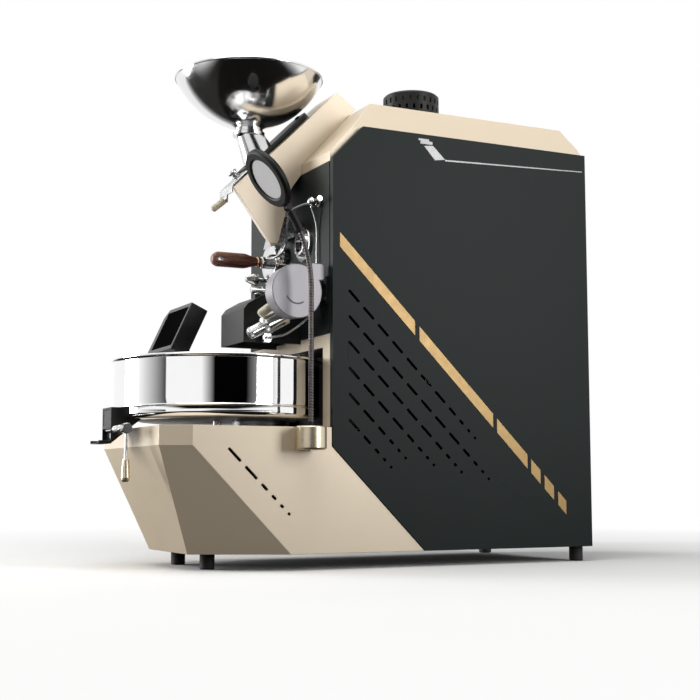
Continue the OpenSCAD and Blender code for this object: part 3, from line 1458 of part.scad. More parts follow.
module case_screws() {
  color(steel) placed() {
    both_sides() for (p = [[20, 717], [body_l - 16, 775], [body_l - 16, 16], [200, 16]])
      translate([half_w, p[0], p[1]]) rotate([0, 90, 0]) button_head(4);
    both_sides() for (p = [[150, 176], [103, 16]])
      translate([p[0], (band_z - p[1]) * front_back / band_z - base_side_y - corner_y, p[1]])
      rotate([90 + atan(front_back / band_z), 0, 0]) button_head(4);
    on_front(121, 557) button_head(4);
    for (p = [[-64, 595], [-63, 538], [-90, 554]]) on_front(p[0], p[1]) translate([0, 0, flange_t])
      button_head(4);
    for (i = [0 : 2]) on_front(glass_x, glass_z) rotate(i * 120 + 40) translate([28, 0, 6]) button_head(3);
  }
}

feet();
chassis();
base_shell();
pan_motors();
lower_front_panel();
pan_recess();
right_side_panel();
left_side_panel();
side_stripes();
rear_panel();
hood();
front_plate();
inlet_housing();
inlet_duct();
gate_guide();
hopper();
hopper_neck();
sight_glass_ring();
sight_glass();
trier_flange();
actuator_can();
actuator_bracket();
discharge_chute();
probe_fittings();
probe_cable();
lamp_base();
console_arm();
cooling_pan();
pan_sieve();
cooling_duct();
outlet_box();
drum_bearings();
drum_motor();
heater();
chimney_cap();
roast_chamber();
power_inlet();
case_screws();
gate_plate();
gate_grip();
trier_collar();
trier_rod();
trier_handle();
door_axle();
door_flap();
door_grip();
lamp_arm();
lamp_head();
lamp_diffuser();
console();
console_screen();
agitator();
cooling_impeller();
outlet_flap();
outlet_lever();
outlet_grip();
drum();
drum_gear();
motor_pinion();
exhaust_impeller();
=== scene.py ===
"""Drum coffee roaster for a bench.

Hopper and slide gate over a raked housing, drum body, cooling pan with its outlet, lamp and console.
"""
import json
import math
import bmesh
import bpy
from mathutils import Matrix, Vector

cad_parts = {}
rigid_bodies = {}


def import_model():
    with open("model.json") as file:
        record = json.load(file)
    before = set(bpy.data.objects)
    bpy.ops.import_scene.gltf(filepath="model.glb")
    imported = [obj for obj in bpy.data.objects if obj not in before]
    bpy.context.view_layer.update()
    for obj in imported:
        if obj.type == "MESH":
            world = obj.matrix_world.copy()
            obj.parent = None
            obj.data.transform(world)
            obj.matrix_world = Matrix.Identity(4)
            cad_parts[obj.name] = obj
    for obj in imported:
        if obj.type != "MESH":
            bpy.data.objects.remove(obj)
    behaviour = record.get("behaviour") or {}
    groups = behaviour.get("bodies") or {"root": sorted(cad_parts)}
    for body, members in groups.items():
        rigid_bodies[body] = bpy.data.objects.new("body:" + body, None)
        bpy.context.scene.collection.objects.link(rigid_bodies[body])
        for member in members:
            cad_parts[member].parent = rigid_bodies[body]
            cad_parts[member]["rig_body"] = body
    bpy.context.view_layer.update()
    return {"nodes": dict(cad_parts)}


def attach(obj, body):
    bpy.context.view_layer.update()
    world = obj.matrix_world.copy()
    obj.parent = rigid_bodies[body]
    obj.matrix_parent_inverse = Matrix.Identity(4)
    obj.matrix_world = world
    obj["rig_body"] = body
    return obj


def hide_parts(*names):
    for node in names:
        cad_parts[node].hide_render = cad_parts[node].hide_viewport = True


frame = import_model()
scene = bpy.context.scene
scene.view_settings.view_transform = "Standard"

# CAMERA
# It stands low in front of the right-hand corner and looks a little up, as the photographer did.
# Its place is in metres in the part's own frame.
AZIMUTH, PITCH, ROLL = math.radians(63.57), math.radians(5.82), math.radians(-0.1)
STAND, LENS, SENSOR, FAR = (2.32434, -1.11592, 0.155), 67.0, 36.0, 60
back = Vector((math.sin(AZIMUTH) * math.cos(PITCH), -math.cos(AZIMUTH) * math.cos(PITCH), -math.sin(PITCH)))
right = (-back).cross(Vector((0, 0, 1))).normalized()
up = right.cross(-back)
right, up = right * math.cos(ROLL) + up * math.sin(ROLL), up * math.cos(ROLL) - right * math.sin(ROLL)
camera = bpy.data.objects.new("camera", bpy.data.cameras.new("camera"))
camera.data.lens, camera.data.sensor_width, camera.data.clip_end = LENS, SENSOR, FAR
camera.matrix_world = Matrix.Translation(STAND) @ Matrix((right, up, back)).transposed().to_4x4()
scene.collection.objects.link(camera)
scene.camera = camera


# STUDIO
# A pale floor that fades into a white room, with soft boxes above and in front.
# Dark cards stand outside the picture, where only polished metal sees them, to draw its bands.
class Term:
    """A value in a node tree, which Python's own signs can add and multiply."""

    def __init__(self, maker, socket):
        self.maker, self.socket = maker, socket

    def sign(self, operation, other=0.0, swapped=False):
        first, second = (other, self) if swapped else (self, other)
        return self.maker.node("ShaderNodeMath", {"operation": operation}, {0: first, 1: second})

    def alone(self, operation):
        return self.maker.node("ShaderNodeMath", {"operation": operation}, {0: self})

    def sine(self): return self.alone("SINE")
    def __abs__(self): return self.alone("ABSOLUTE")
    def __add__(self, other): return self.sign("ADD", other)
    def __radd__(self, other): return self.sign("ADD", other)
    def __sub__(self, other): return self.sign("SUBTRACT", other)
    def __rsub__(self, other): return self.sign("SUBTRACT", other, True)
    def __mul__(self, other): return self.sign("MULTIPLY", other)
    def __rmul__(self, other): return self.sign("MULTIPLY", other)
    def __truediv__(self, other): return self.sign("DIVIDE", other)
    def __pow__(self, other): return self.sign("POWER", other)
    def __gt__(self, other): return self.sign("GREATER_THAN", other)
    def __lt__(self, other): return self.sign("LESS_THAN", other)


class Maker:
    """Builds nodes in a tree from their type, their settings and the values of their sockets."""

    def plug(self, socket, value):
        if isinstance(value, Term):
            self.tree.links.new(value.socket, socket)
        else:
            socket.default_value = value

    def node(self, kind, settings=None, values=None, out=0):
        made = self.tree.nodes.new(kind)
        for name, value in (settings or {}).items():
            if name == "stops":
                for _ in value[2:]:
                    made.color_ramp.elements.new(0.5)
                for stop, (place, colour) in zip(made.color_ramp.elements, value):
                    stop.position, stop.color = place, colour
            else:
                setattr(made, name, value)
        for name, value in (values or {}).items():
            self.plug(made.inputs[name], value)
        return Term(self, made.outputs[out])


def tint(red, green, blue):
    """A colour as the eye gives it, 0 to 255, in the light values that a shader takes."""
    return tuple(((c / 255 + 0.055) / 1.055) ** 2.4 if c > 10 else c / 255 / 12.92
                 for c in (red, green, blue)) + (1,)


class Finish(Maker):
    """One material: a Principled surface with its even values, and what varies over it."""

    def __init__(self, name, **settings):
        self.material = bpy.data.materials.new(name)
        self.material.use_nodes = True
        self.tree = self.material.node_tree
        self.surface = self.tree.nodes["Principled BSDF"]
        self.set(**settings)

    def set(self, **settings):
        for name, value in settings.items():
            self.plug(self.surface.inputs[name.replace("_", " ")], value)

    def place(self, stretch=(1, 1, 1), centre=(0, 0, 0)):
        """Place on the piece in metres, shifted to a centre and stretched."""
        shift = tuple(-c * s for c, s in zip(centre, stretch))
        return self.node("ShaderNodeMapping", {}, {"Vector": self.node("ShaderNodeTexCoord", out=3),
                                                   "Location": shift, "Scale": stretch})

    def cloud(self, scale, detail=3.0, rough=0.5, at=None):
        return self.node("ShaderNodeTexNoise", {}, {"Vector": at or self.place(), "Scale": scale,
                                                    "Detail": detail, "Roughness": rough})

    def span(self, value, low, high, to_low=0.0, to_high=1.0):
        return self.node("ShaderNodeMapRange", {}, {"Value": value, "From Min": low, "From Max": high,
                                                    "To Min": to_low, "To Max": to_high})

    def blend(self, mask, low, high):
        return self.node("ShaderNodeMix", {"data_type": "RGBA"}, {0: mask, 6: low, 7: high}, 2)

    def relief(self, height, depth, strength=1.0):
        self.set(Normal=self.node("ShaderNodeBump", {}, {"Height": height, "Distance": depth,
                                                         "Strength": strength}))

    def wear(self, low, high, marks, rough, depth, patches=None):
        """Colour from low to high over patches, roughness (least, rise) and fine relief over marks."""
        self.set(Base_Color=self.blend(patches or marks, low, high), Roughness=marks * rough[1] + rough[0])
        self.relief(marks, depth)

    def corners(self, width):
        """Nought on flat faces, rising to one on a bend or corner: the mask of the painted edge highlights.
        """
        rounded = self.node("ShaderNodeBevel", {"samples": 4}, {"Radius": width})
        flat = self.node("ShaderNodeNewGeometry", out=1)
        alike = self.node("ShaderNodeVectorMath", {"operation": "DOT_PRODUCT"}, {0: rounded, 1: flat}, 1)
        return self.span(alike, 0.995, 0.88)


def sheet_of(name, corners, finish):
    """A flat backdrop from its corners, which isn't part of the roaster."""
    mesh = bpy.data.meshes.new(name)
    mesh.from_pydata(corners, [], [range(len(corners))])
    mesh.materials.append(finish.material)
    backdrop = bpy.data.objects.new(name, mesh)
    scene.collection.objects.link(backdrop)
    return backdrop


def seen_by(maker):
    """Masks of 0 and 1: the camera's own rays, and those with the rays that metal and glass pass on."""
    direct, mirrored, passed = (maker.node("ShaderNodeLightPath", out=k) for k in (0, 3, 6))
    return direct, (direct + mirrored + passed) > 0.5


FLOOR_HALF, FADE_FROM, FADE_TO, ROOM_GLOW = 14.0, 0.75, 2.1, 0.24
floor_finish = Finish("studio_floor", Roughness=0.7, Specular_IOR_Level=0.25)
direct, seen = seen_by(floor_finish)
pale = floor_finish.blend(floor_finish.cloud(1.5), tint(238, 238, 237), tint(243, 243, 242))
floor_finish.set(Base_Color=floor_finish.blend(direct, tint(104, 102, 100), pale))
distance = floor_finish.node("ShaderNodeVectorMath", {"operation": "LENGTH"}, {0: floor_finish.place()}, 1)
fading = (floor_finish.span(distance, FADE_FROM, FADE_TO) * seen) ** 0.8
white = floor_finish.node("ShaderNodeEmission", {}, {"Color": (1, 1, 1, 1), "Strength": 1.0})
ground = Term(floor_finish, floor_finish.surface.outputs[0])
floor_finish.plug(floor_finish.tree.nodes["Material Output"].inputs["Surface"],
                  floor_finish.node("ShaderNodeMixShader", {}, {0: fading, 1: ground, 2: white}))
CORNERS = ((-1, -1), (1, -1), (1, 1), (-1, 1))
sheet_of("studio_floor", [(x * FLOOR_HALF, y * FLOOR_HALF, 0) for x, y in CORNERS], floor_finish)

world = bpy.data.worlds.new("white_room")
world.use_nodes = True
scene.world = world
room = Maker()
room.tree = world.node_tree
seen = seen_by(room)[1]
room.plug(room.tree.nodes["Background"].inputs["Color"], (1, 1, 1, 1))
room.plug(room.tree.nodes["Background"].inputs["Strength"], ROOM_GLOW + seen * (1.0 - ROOM_GLOW))


def card(name, middle, wide, high, lean, darkness, fade):
    """A dark card at a bearing and a distance round the part; fade softens its left and right edges."""
    bearing, reach, height = middle
    out = Vector((math.sin(math.radians(bearing)), -math.cos(math.radians(bearing)), 0))
    side = Vector((-out.y, out.x, 0))
    rise = (Vector((0, 0, 1)) * math.cos(lean) + out * math.sin(lean)) * high / 2
    finish = Finish(name)
    across = finish.node("ShaderNodeVectorMath", {"operation": "DOT_PRODUCT"},
                         {0: finish.place(), 1: tuple(side)}, 1)
    shade = 1.0
    for edge, sign in zip(fade, (-1, 1)):
        shade = shade * finish.span(across * sign, wide / 2, wide / 2 - edge)
    glow = finish.node("ShaderNodeEmission", {}, {"Color": tint(*darkness)})
    clear = finish.node("ShaderNodeBsdfTransparent")
    finish.plug(finish.tree.nodes["Material Output"].inputs["Surface"],
                finish.node("ShaderNodeMixShader", {}, {0: shade, 1: clear, 2: glow}))
    at = out * reach + Vector((0, 0, height))
    board = sheet_of(name, [at + side * x * wide / 2 + rise * z for x, z in CORNERS], finish)
    for kind in ("camera", "diffuse", "transmission", "volume_scatter", "shadow"):
        setattr(board, "visible_" + kind, False)


def soft_box(name, at, aim, wide, high, watts):
    """An area lamp at a place in metres, turned to where it aims."""
    light = bpy.data.lights.new(name, "AREA")
    light.shape, light.size, light.size_y, light.energy = "RECTANGLE", wide, high, watts
    box = bpy.data.objects.new(name, light)
    box.location = at
    box.rotation_euler = (Vector(aim) - Vector(at)).to_track_quat("-Z", "Y").to_euler()
    scene.collection.objects.link(box)


soft_box("overhead_box", (0.6, -0.7, 3.1), (0, 0, 0.5), 2.4, 2.4, 66)
soft_box("front_box", (-1.95, -2.8, 0.9), (0, 0, 0.3), 1.4, 1.8, 122)
soft_box("side_box", (3.1, 1.65, 1.2), (0, -0.1, 0.35), 1.2, 2.0, 62)
UPRIGHT, FLAT = 0.0, math.pi / 2
card("camera_card", (94, 5.0, 1.4), 9.3, 2.9, UPRIGHT, (3, 3, 3), (1.8, 4.3))
card("front_card", (-5.0, 5.0, 1.4), 3.2, 2.9, UPRIGHT, (84, 84, 84), (3.0, 0.1))
card("left_bench_card", (-42, 2.6, 0.004), 3.4, 3.6, FLAT, (46, 45, 44), (1.2, 1.2))
card("bench_card", (60, 1.3, 0.003), 4.4, 4.4, FLAT, (20, 19, 18), (0.9, 0.9))


# FEET
# Four turned rubber feet under the floor plate, each on its own stud.
# Moulded black rubber with a fine grain and a little dust.
SIDE_X, FRONT_Y, FOOT_H = -0.5, -94.0, 29.0
foot_rubber = Finish("foot_rubber")
foot_rubber.wear(tint(20, 20, 20), tint(40, 39, 37), foot_rubber.cloud(1800, 4), (0.6, 0.2), 0.0002,
                 foot_rubber.cloud(60))


def spot(x, y, z):
    """A place in millimetres from the centre plane, the front plate and the panels' foot, in metres here."""
    return Vector((x + SIDE_X, y + FRONT_Y, z + FOOT_H)) / 1000


def kept_mesh(form, name):
    """A mesh of its own from a form that is built up point by point."""
    mesh = bpy.data.meshes.new(name)
    form.to_mesh(mesh)
    form.free()
    return mesh


def plain_mesh(piece, name):
    """Runs the piece's modifiers and keeps the result."""
    bpy.context.view_layer.update()
    ready = bpy.data.meshes.new_from_object(piece.evaluated_get(bpy.context.evaluated_depsgraph_get()))
    piece.modifiers.clear()
    piece.data = ready
    ready.name = name


def settle(name, mesh, finish, nodes, edge=0.0, steps=2, smooth=32):
    """Rounds a mesh's corners by edge millimetres, shades it and puts it on the body of its nodes."""
    piece = bpy.data.objects.new(name, mesh)
    scene.collection.objects.link(piece)
    mesh.shade_smooth()
    mesh.set_sharp_from_angle(angle=math.radians(smooth))
    if edge:
        rounding = piece.modifiers.new("rounding", "BEVEL")
        rounding.width, rounding.segments, rounding.limit_method = edge / 1000, steps, "ANGLE"
        rounding.angle_limit, rounding.use_clamp_overlap = math.radians(smooth), False
        levelling = piece.modifiers.new("levelling", "WEIGHTED_NORMAL")
        levelling.keep_sharp = True
        plain_mesh(piece, name)
    piece.data.materials.clear()
    piece.data.materials.append(finish.material)
    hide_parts(*nodes)
    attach(piece, frame["nodes"][nodes[0]]["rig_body"])
    return piece


def dress(node, finish, edge=0.5, steps=2, smooth=32, keep=None):
    """The part's own solid, with the small round that the press or the lathe leaves on its sharp corners."""
    solid = bmesh.new()
    solid.from_mesh(frame["nodes"][node].data)
    bmesh.ops.remove_doubles(solid, verts=solid.verts, dist=2e-6)
    if keep:
        spare = [face for face in solid.faces if not keep(face.calc_center_median())]
        bmesh.ops.delete(solid, geom=spare, context="FACES")
    if edge:
        bmesh.ops.dissolve_limit(solid, angle_limit=math.radians(0.5), verts=solid.verts, edges=solid.edges)
    return settle(node + "_finish", kept_mesh(solid, node), finish, [node], edge, steps, smooth)


dress("feet", foot_rubber, 0.8)

# CHASSIS
# Folded posts, floor plate and bulkhead of mild steel, welded up first; everything else bolts to it.
# Bright zinc plate, dulled and faintly brushed.
frame_steel = Finish("frame_steel", Metallic=1.0)
brushing = frame_steel.cloud(160, 3, 0.6, frame_steel.place((1, 1, 9)))
frame_steel.set(Base_Color=frame_steel.blend(frame_steel.cloud(22), tint(150, 152, 155), tint(176, 177, 178)),
                Roughness=frame_steel.span(brushing, 0.3, 0.7, 0.3, 0.48))
frame_steel.relief(brushing, 0.00005)
dress("chassis", frame_steel, 0.4)

# BASE
# A folded sheet shell that carries the cooling pan, raked in front and at its corners.
# Champagne powder coat, baked on: a faint orange peel, and a painted highlight that lightens the bends.
champagne = Finish("champagne_paint", Metallic=0.12, Coat_Roughness=0.3)
peel = champagne.cloud(420, 2)
speck = champagne.cloud(3400, 1)
tone = champagne.blend(champagne.cloud(5, 2), tint(215, 199, 174), tint(222, 206, 182))
tone = champagne.blend(speck * 0.16, tone, tint(190, 176, 152))
# Bends and corners are lightened toward a paler champagne: a painted highlight.
champagne.set(Base_Color=champagne.blend(champagne.corners(0.0012) * 0.35, tone, tint(238, 227, 206)),
              Roughness=champagne.cloud(16) * 0.12 + 0.3, Coat_Weight=champagne.cloud(9) * 0.12 + 0.12)
champagne.relief(peel + speck * 0.3, 0.00007)
dress("base_shell", champagne, 0.7)
dress("lower_front_panel", champagne, 0.4)

# SIDE, REAR AND RECESS PANELS
# Pressed trays hung on the chassis, with the vents punched through their right and left faces.
# Graphite powder coat with a fine sand grain; the corners carry a painted highlight that makes them brighter.
graphite = Finish("graphite_paint", Specular_IOR_Level=0.12)
sand = graphite.cloud(2600, 2)
tone = graphite.blend(graphite.cloud(3.5, 2), tint(22, 29, 28), tint(26, 33, 32))
tone = graphite.blend(graphite.span(graphite.cloud(4200, 1), 0.62, 0.75) * 0.3, tone, tint(64, 68, 67))
# Corners are lightened toward grey: a painted highlight.
graphite.set(Base_Color=graphite.blend(graphite.corners(0.0010) * 0.5, tone, tint(84, 87, 86)),
             Roughness=sand * 0.14 + 0.38)
graphite.relief(sand, 0.00006)
for node in ("right_side_panel", "left_side_panel"):
    dress(node, graphite, 0.5)
for node in ("rear_panel", "pan_recess", "front_plate"):
    dress(node, graphite, 0.4)

# STRIPES
# Foil cut by knife and rubbed down on the side panels: gold along the diagonal, silver marks near the top.
# Satin metal foil with the fine lines of its rolling.
gold_foil = Finish("gold_foil", Metallic=0.4)
rolling = gold_foil.cloud(500, 2, 0.5, gold_foil.place((1, 0.12, 0.12)))
gold_foil.wear(tint(144, 116, 68), tint(156, 127, 78), rolling, (0.3, 0.15), 0.00003, gold_foil.cloud(30))
silver_foil = Finish("silver_foil", Metallic=0.4)
rolling = silver_foil.cloud(500, 2, 0.5, silver_foil.place((1, 0.12, 0.12)))
silver_foil.set(Base_Color=silver_foil.blend(silver_foil.cloud(30), tint(126, 126, 126), tint(140, 140, 139)),
                Roughness=rolling * 0.12 + 0.3)
MARKS_Z = spot(0, 0, 735).z
dress("side_stripes", gold_foil, 0, keep=lambda middle: middle.z < MARKS_Z)
dress("side_stripes", silver_foil, 0, keep=lambda middle: middle.z > MARKS_Z).name = "side_marks_finish"

# HOOD AND INLET HOUSING
# The hood is folded over the top of the body; the housing is a welded box that leads beans from the hopper's
# throat down to the drum. Both are painted as the base is.
dress("hood", champagne, 0.8)
dress("inlet_housing", champagne, 0.8)

# CHIMNEY CAP
# A spun steel cap over the exhaust stack, with two rows of punched windows.
# Black stove enamel, with a painted highlight that greys its bends and corners.
black_paint = Finish("black_paint", Specular_IOR_Level=0.2)
grit = black_paint.cloud(2200, 3)
tone = black_paint.blend(black_paint.cloud(14), tint(19, 19, 19), tint(32, 32, 31))
# Every bend and corner, round the windows too, is lightened to grey: a painted highlight.
black_paint.set(Base_Color=black_paint.blend(black_paint.corners(0.0008) * 0.45, tone, tint(92, 91, 88)),
                Roughness=grit * 0.16 + 0.34)
black_paint.relief(grit, 0.00006)
dress("chimney_cap", black_paint, 0.5)

# HOPPER
# A bowl spun from one steel disc, its lip rolled over a wire and its foot pressed into a seat ring.
# Mirror polished on the outside, with the fine rings that the buffing wheel leaves.
HOPPER_Y, LIP_R, LIP_Z, LIP_ROLL = -87.0, 146.0, 917.0, 3.0
SEAT_Z, SEAT_R, THROAT_R, THROAT_OUT = 815.0, 35.0, 22.0, 27.0
BOWL_ARC, BOWL_THICK = 177.0, 1.5


class Polish(Finish):
    """Metal turned or buffed about an upright axis, so that its marks run round it."""

    def __init__(self, name, axis, low, high, rough, depth):
        super().__init__(name, Metallic=1.0)
        parts = [self.node("ShaderNodeSeparateXYZ", {}, {0: self.place(centre=axis)}, k) for k in range(3)]
        radius = (parts[0] ** 2.0 + parts[1] ** 2.0) ** 0.5
        turn = self.node("ShaderNodeMath", {"operation": "ARCTAN2"}, {0: parts[1], 1: parts[0]})
        rings = self.node("ShaderNodeCombineXYZ", {}, {0: radius * 900.0, 1: turn * 0.6, 2: parts[2] * 900.0})
        marks = self.cloud(1.0, 3, 0.6, rings)
        haze = self.cloud(11, 3)
        self.set(Base_Color=self.blend(haze, low, high), Roughness=haze * rough * 0.8 + marks * rough * 0.8)
        self.relief(marks, depth)


def round_angles(count):
    """Even turns of a full circle."""
    return [2 * math.pi * k / count for k in range(count)]


def skin(form, loops):
    """Faces from each loop of points to the next."""
    for lower, upper in zip(loops, loops[1:]):
        for k in range(len(lower)):
            after = (k + 1) % len(lower)
            form.faces.new((lower[k], lower[after], upper[after], upper[k]))


def lathe(name, outline, axis_y, around=256):
    """A closed ring with an outline of (radius, height) in millimetres, turned about an upright axis."""
    form = bmesh.new()
    rings = [[form.verts.new(spot(radius * math.cos(a), axis_y + radius * math.sin(a), height))
              for a in round_angles(around)] for radius, height in outline]
    skin(form, rings + rings[:1])
    bmesh.ops.recalc_face_normals(form, faces=form.faces)
    return kept_mesh(form, name)


def roll(radius, height, thick, start, stop, steps=14):
    """Points round a rolled edge, from one angle in degrees to another."""
    turns = [math.radians(start + (stop - start) * k / steps) for k in range(steps + 1)]
    return [(radius + thick * math.cos(a), height + thick * math.sin(a)) for a in turns]


foot_in, lip_in = Vector((SEAT_R, SEAT_Z + 5)), Vector((LIP_R, LIP_Z))
chord = lip_in - foot_in
arc_rise = math.sqrt(BOWL_ARC ** 2 - chord.length_squared / 4)
middle = (foot_in + lip_in) / 2 + Vector((-chord.y, chord.x)).normalized() * arc_rise
first = math.atan2(foot_in.y - middle.y, foot_in.x - middle.x)
last = math.atan2(LIP_Z - LIP_ROLL - middle.y, LIP_R - LIP_ROLL - middle.x)


def bowl(radius, steps=56):
    """Points up the bowl's wall, at a radius from the middle of its arc."""
    return [(middle.x + radius * math.cos(first + (last - first) * k / steps),
             middle.y + radius * math.sin(first + (last - first) * k / steps)) for k in range(steps + 1)]


polished_bowl = Polish("polished_bowl", spot(0, HOPPER_Y, 0), tint(226, 226, 227), tint(240, 240, 240),
                       0.15, 0.000004)
outline = [(THROAT_R, SEAT_Z), (THROAT_OUT - 0.6, SEAT_Z), (THROAT_OUT, SEAT_Z + 0.6)] + bowl(BOWL_ARC)
outline += roll(LIP_R - LIP_ROLL, LIP_Z - LIP_ROLL, LIP_ROLL, -60, 210, 22)
outline += bowl(BOWL_ARC - BOWL_THICK)[::-1] + [(THROAT_OUT, SEAT_Z + 3.0), (THROAT_R, SEAT_Z + 2.0)]
settle("hopper_bowl", lathe("hopper_bowl", outline, HOPPER_Y), polished_bowl, ["hopper"], smooth=40)
steel = Finish("polished_steel", Metallic=1.0)
haze = steel.cloud(26, 3)
scuff = steel.cloud(380, 3, 0.6)
steel.set(Base_Color=steel.blend(haze, tint(206, 206, 207), tint(230, 230, 230)),
          Roughness=haze * 0.1 + scuff * 0.1 + 0.04)
steel.relief(scuff, 0.00001)
dress("hopper_neck", steel, 0.6)

# SLIDE GATE
# A black guide bolted on the housing's slope, with a steel plate that slides in it to let the beans down.
# The plate ends in a folded tab with a turned cream knob.
dress("gate_guide", black_paint, 0.4)
brushed_steel = Finish("brushed_steel", Metallic=1.0)
streaks = brushed_steel.cloud(240, 3, 0.6, brushed_steel.place((9, 1, 1)))
tone = brushed_steel.blend(brushed_steel.cloud(18), tint(168, 168, 168), tint(190, 190, 190))
brushed_steel.set(Base_Color=tone, Roughness=brushed_steel.span(streaks, 0.3, 0.7, 0.2, 0.38))
brushed_steel.relief(streaks, 0.00003)
dress("gate_plate", brushed_steel, 0.4)
dress("inlet_duct", brushed_steel, 0.3)
cream = Finish("cream_plastic", Coat_Roughness=0.08)
mould = cream.cloud(300, 3)
cream.set(Base_Color=cream.blend(cream.cloud(40), tint(196, 187, 158), tint(208, 200, 174)),
          Roughness=mould * 0.12 + 0.2, Coat_Weight=cream.cloud(25) * 0.2 + 0.3)
cream.relief(mould, 0.00003)
dress("gate_grip", cream, 0)

# SIGHT GLASS
# A pane clamped to the front plate by a turned ring, to watch the beans in the drum.
# The pane is toughened glass with a faint, patchy haze.
dress("sight_glass_ring", steel, 0.5)
pane = Finish("sight_pane", Base_Color=tint(214, 226, 224), Transmission_Weight=1.0, IOR=1.5)
pane.set(Roughness=pane.cloud(40) * 0.06 + 0.01)
dress("sight_glass", pane, 0.3)

# BEAN TRIER
# A hollow rod that draws a sample from the drum: a flange on the front plate, a sleeve that turns in it,
# the rod with its ferrule, and a rosewood handle shaped on a spindle moulder and oiled.
dress("trier_flange", steel, 0.6)
dress("trier_collar", steel, 0.5)
trier_metal = Finish("trier_steel", Metallic=1.0)
ahead = trier_metal.node("ShaderNodeSeparateXYZ", {}, {0: trier_metal.place()}, 1)
FERRULE_Y = spot(0, -31.0, 0).y
haze = trier_metal.cloud(60, 3)
bright = trier_metal.blend(haze, tint(205, 205, 206), tint(228, 228, 228))
copper = trier_metal.blend(haze, tint(196, 150, 118), tint(220, 180, 150))
trier_metal.set(Base_Color=trier_metal.blend(ahead < FERRULE_Y, bright, copper), Roughness=haze * 0.12 + 0.1)
trier_metal.relief(haze, 0.00001)
dress("trier_rod", trier_metal, 0.5)

HANDLE_X, HANDLE_Y, HANDLE_Z, HANDLE_L = -72.0, -40.5, 567.0, 96.0
HANDLE_R, HANDLE_WIDE, HANDLE_TALL, WAIST_L, WIDE_ROUND, TALL_ROUND = 8.6, 11.0, 15.0, 30.0, 7.0, 15.0
HANDLE_SIDES, SQUARENESS, HOLE_R, HOLE_SIDES = 48, 0.72, 3.5, 40
rosewood = Finish("rosewood", Coat_Roughness=0.18)
along = rosewood.place((60, 4, 60))
rings = rosewood.cloud(3.2, 4, 0.55, along)
pores = rosewood.cloud(26, 2, 0.5, rosewood.place((42, 3, 42)))
bands = (rings * 26.0 + rosewood.cloud(18) * 4.0).sine() * 0.5 + 0.5
tone = rosewood.blend(bands, tint(96, 56, 44), tint(142, 88, 68))
tone = rosewood.blend(rosewood.span(pores, 0.56, 0.7) * 0.7, tone, tint(44, 22, 16))
rosewood.set(Base_Color=tone, Roughness=pores * 0.25 + 0.24, Coat_Weight=rosewood.cloud(20) * 0.2 + 0.35)
rosewood.relief(pores * -1.0 + bands * 0.2, 0.00025)


def handle_half(run):
    """Half width and half height of the handle, in millimetres, at a distance from its ferrule."""
    share = min(1.0, run / WAIST_L)
    ease = share * share * (3 - 2 * share)
    wide_end, tall_end = (max(0.0, 1 - (max(0.0, run - (HANDLE_L - length)) / length) ** 2)
                          for length in (WIDE_ROUND, TALL_ROUND))
    return ((HANDLE_R + (HANDLE_WIDE - HANDLE_R) * ease) * math.sqrt(wide_end * 0.75 + 0.25),
            (HANDLE_R + (HANDLE_TALL - HANDLE_R) * ease) * math.sqrt(tall_end))


def power(value, exponent):
    """A power that keeps the value's sign, which squares up a circle."""
    return math.copysign(abs(value) ** exponent, value)


def hull_mesh(name, corners):
    """The solid that just holds some points, given in millimetres."""
    form = bmesh.new()
    for corner in corners:
        form.verts.new(spot(*corner))
    bmesh.ops.convex_hull(form, input=form.verts)
    return kept_mesh(form, name)


def cut_out(name, whole, tool):
    """What is left of a whole mesh when a tool is cut out of it."""
    piece, cutter = (bpy.data.objects.new(name + "_form", mesh) for mesh in (whole, tool))
    for shape in (piece, cutter):
        scene.collection.objects.link(shape)
    cut = piece.modifiers.new("cut", "BOOLEAN")
    cut.operation, cut.object, cut.solver = "DIFFERENCE", cutter, "EXACT"
    plain_mesh(piece, name)
    mesh = piece.data
    for shape in (cutter, piece):
        bpy.data.objects.remove(shape)
    return mesh


form = bmesh.new()
loops = []
runs = [0, 0.6, 2, 5] + [8 + 4 * k for k in range(18)]
runs += [80 + 15 * math.sin(math.pi / 2 * k / 14) for k in range(1, 14)]
for run in runs:
    wide, tall = (half - (0 if run else 0.8) for half in handle_half(run))
    loops.append([form.verts.new(spot(HANDLE_X + wide * power(math.cos(a), SQUARENESS), HANDLE_Y - run,
                                      HANDLE_Z + tall * power(math.sin(a), SQUARENESS)))
                  for a in round_angles(HANDLE_SIDES)])
skin(form, loops)
form.faces.new(loops[0])
form.faces.new(loops[-1])
bmesh.ops.recalc_face_normals(form, faces=form.faces)
handle = kept_mesh(form, "trier_handle")
HOLE_Y = HANDLE_Y - HANDLE_L + 18
turns = [a + math.pi / HOLE_SIDES for a in round_angles(HOLE_SIDES)]
hole = hull_mesh("hanging_hole", [
    (HANDLE_X + x, HOLE_Y + HOLE_R * math.cos(a) + math.copysign(3.0, math.cos(a)),
     HANDLE_Z + HOLE_R * math.sin(a))
    for x in (-20, 20) for a in turns])
settle("trier_handle_finish", cut_out("trier_handle", handle, hole), rosewood, ["trier_handle"], 1.2, 3, 50)

# DISCHARGE DOOR
# A flap under the drum's mouth on a shaft that a cast actuator turns; a lever with a cream grip and a turned
# counterweight let a hand do it too. Chute and bracket are welded sheet.
dress("discharge_chute", black_paint, 0.5)
dress("actuator_bracket", black_paint, 0.4)
dress("door_axle", steel, 0.6)
dress("door_flap", brushed_steel, 0.4)
dress("door_grip", cream, 0.8)
cast_aluminium = Finish("cast_aluminium", Metallic=0.3)
cast_aluminium.wear(tint(136, 133, 138), tint(150, 147, 152), cast_aluminium.cloud(1500, 2), (0.32, 0.15),
                    0.00005, cast_aluminium.cloud(24))
dress("actuator_can", cast_aluminium, 0.8)
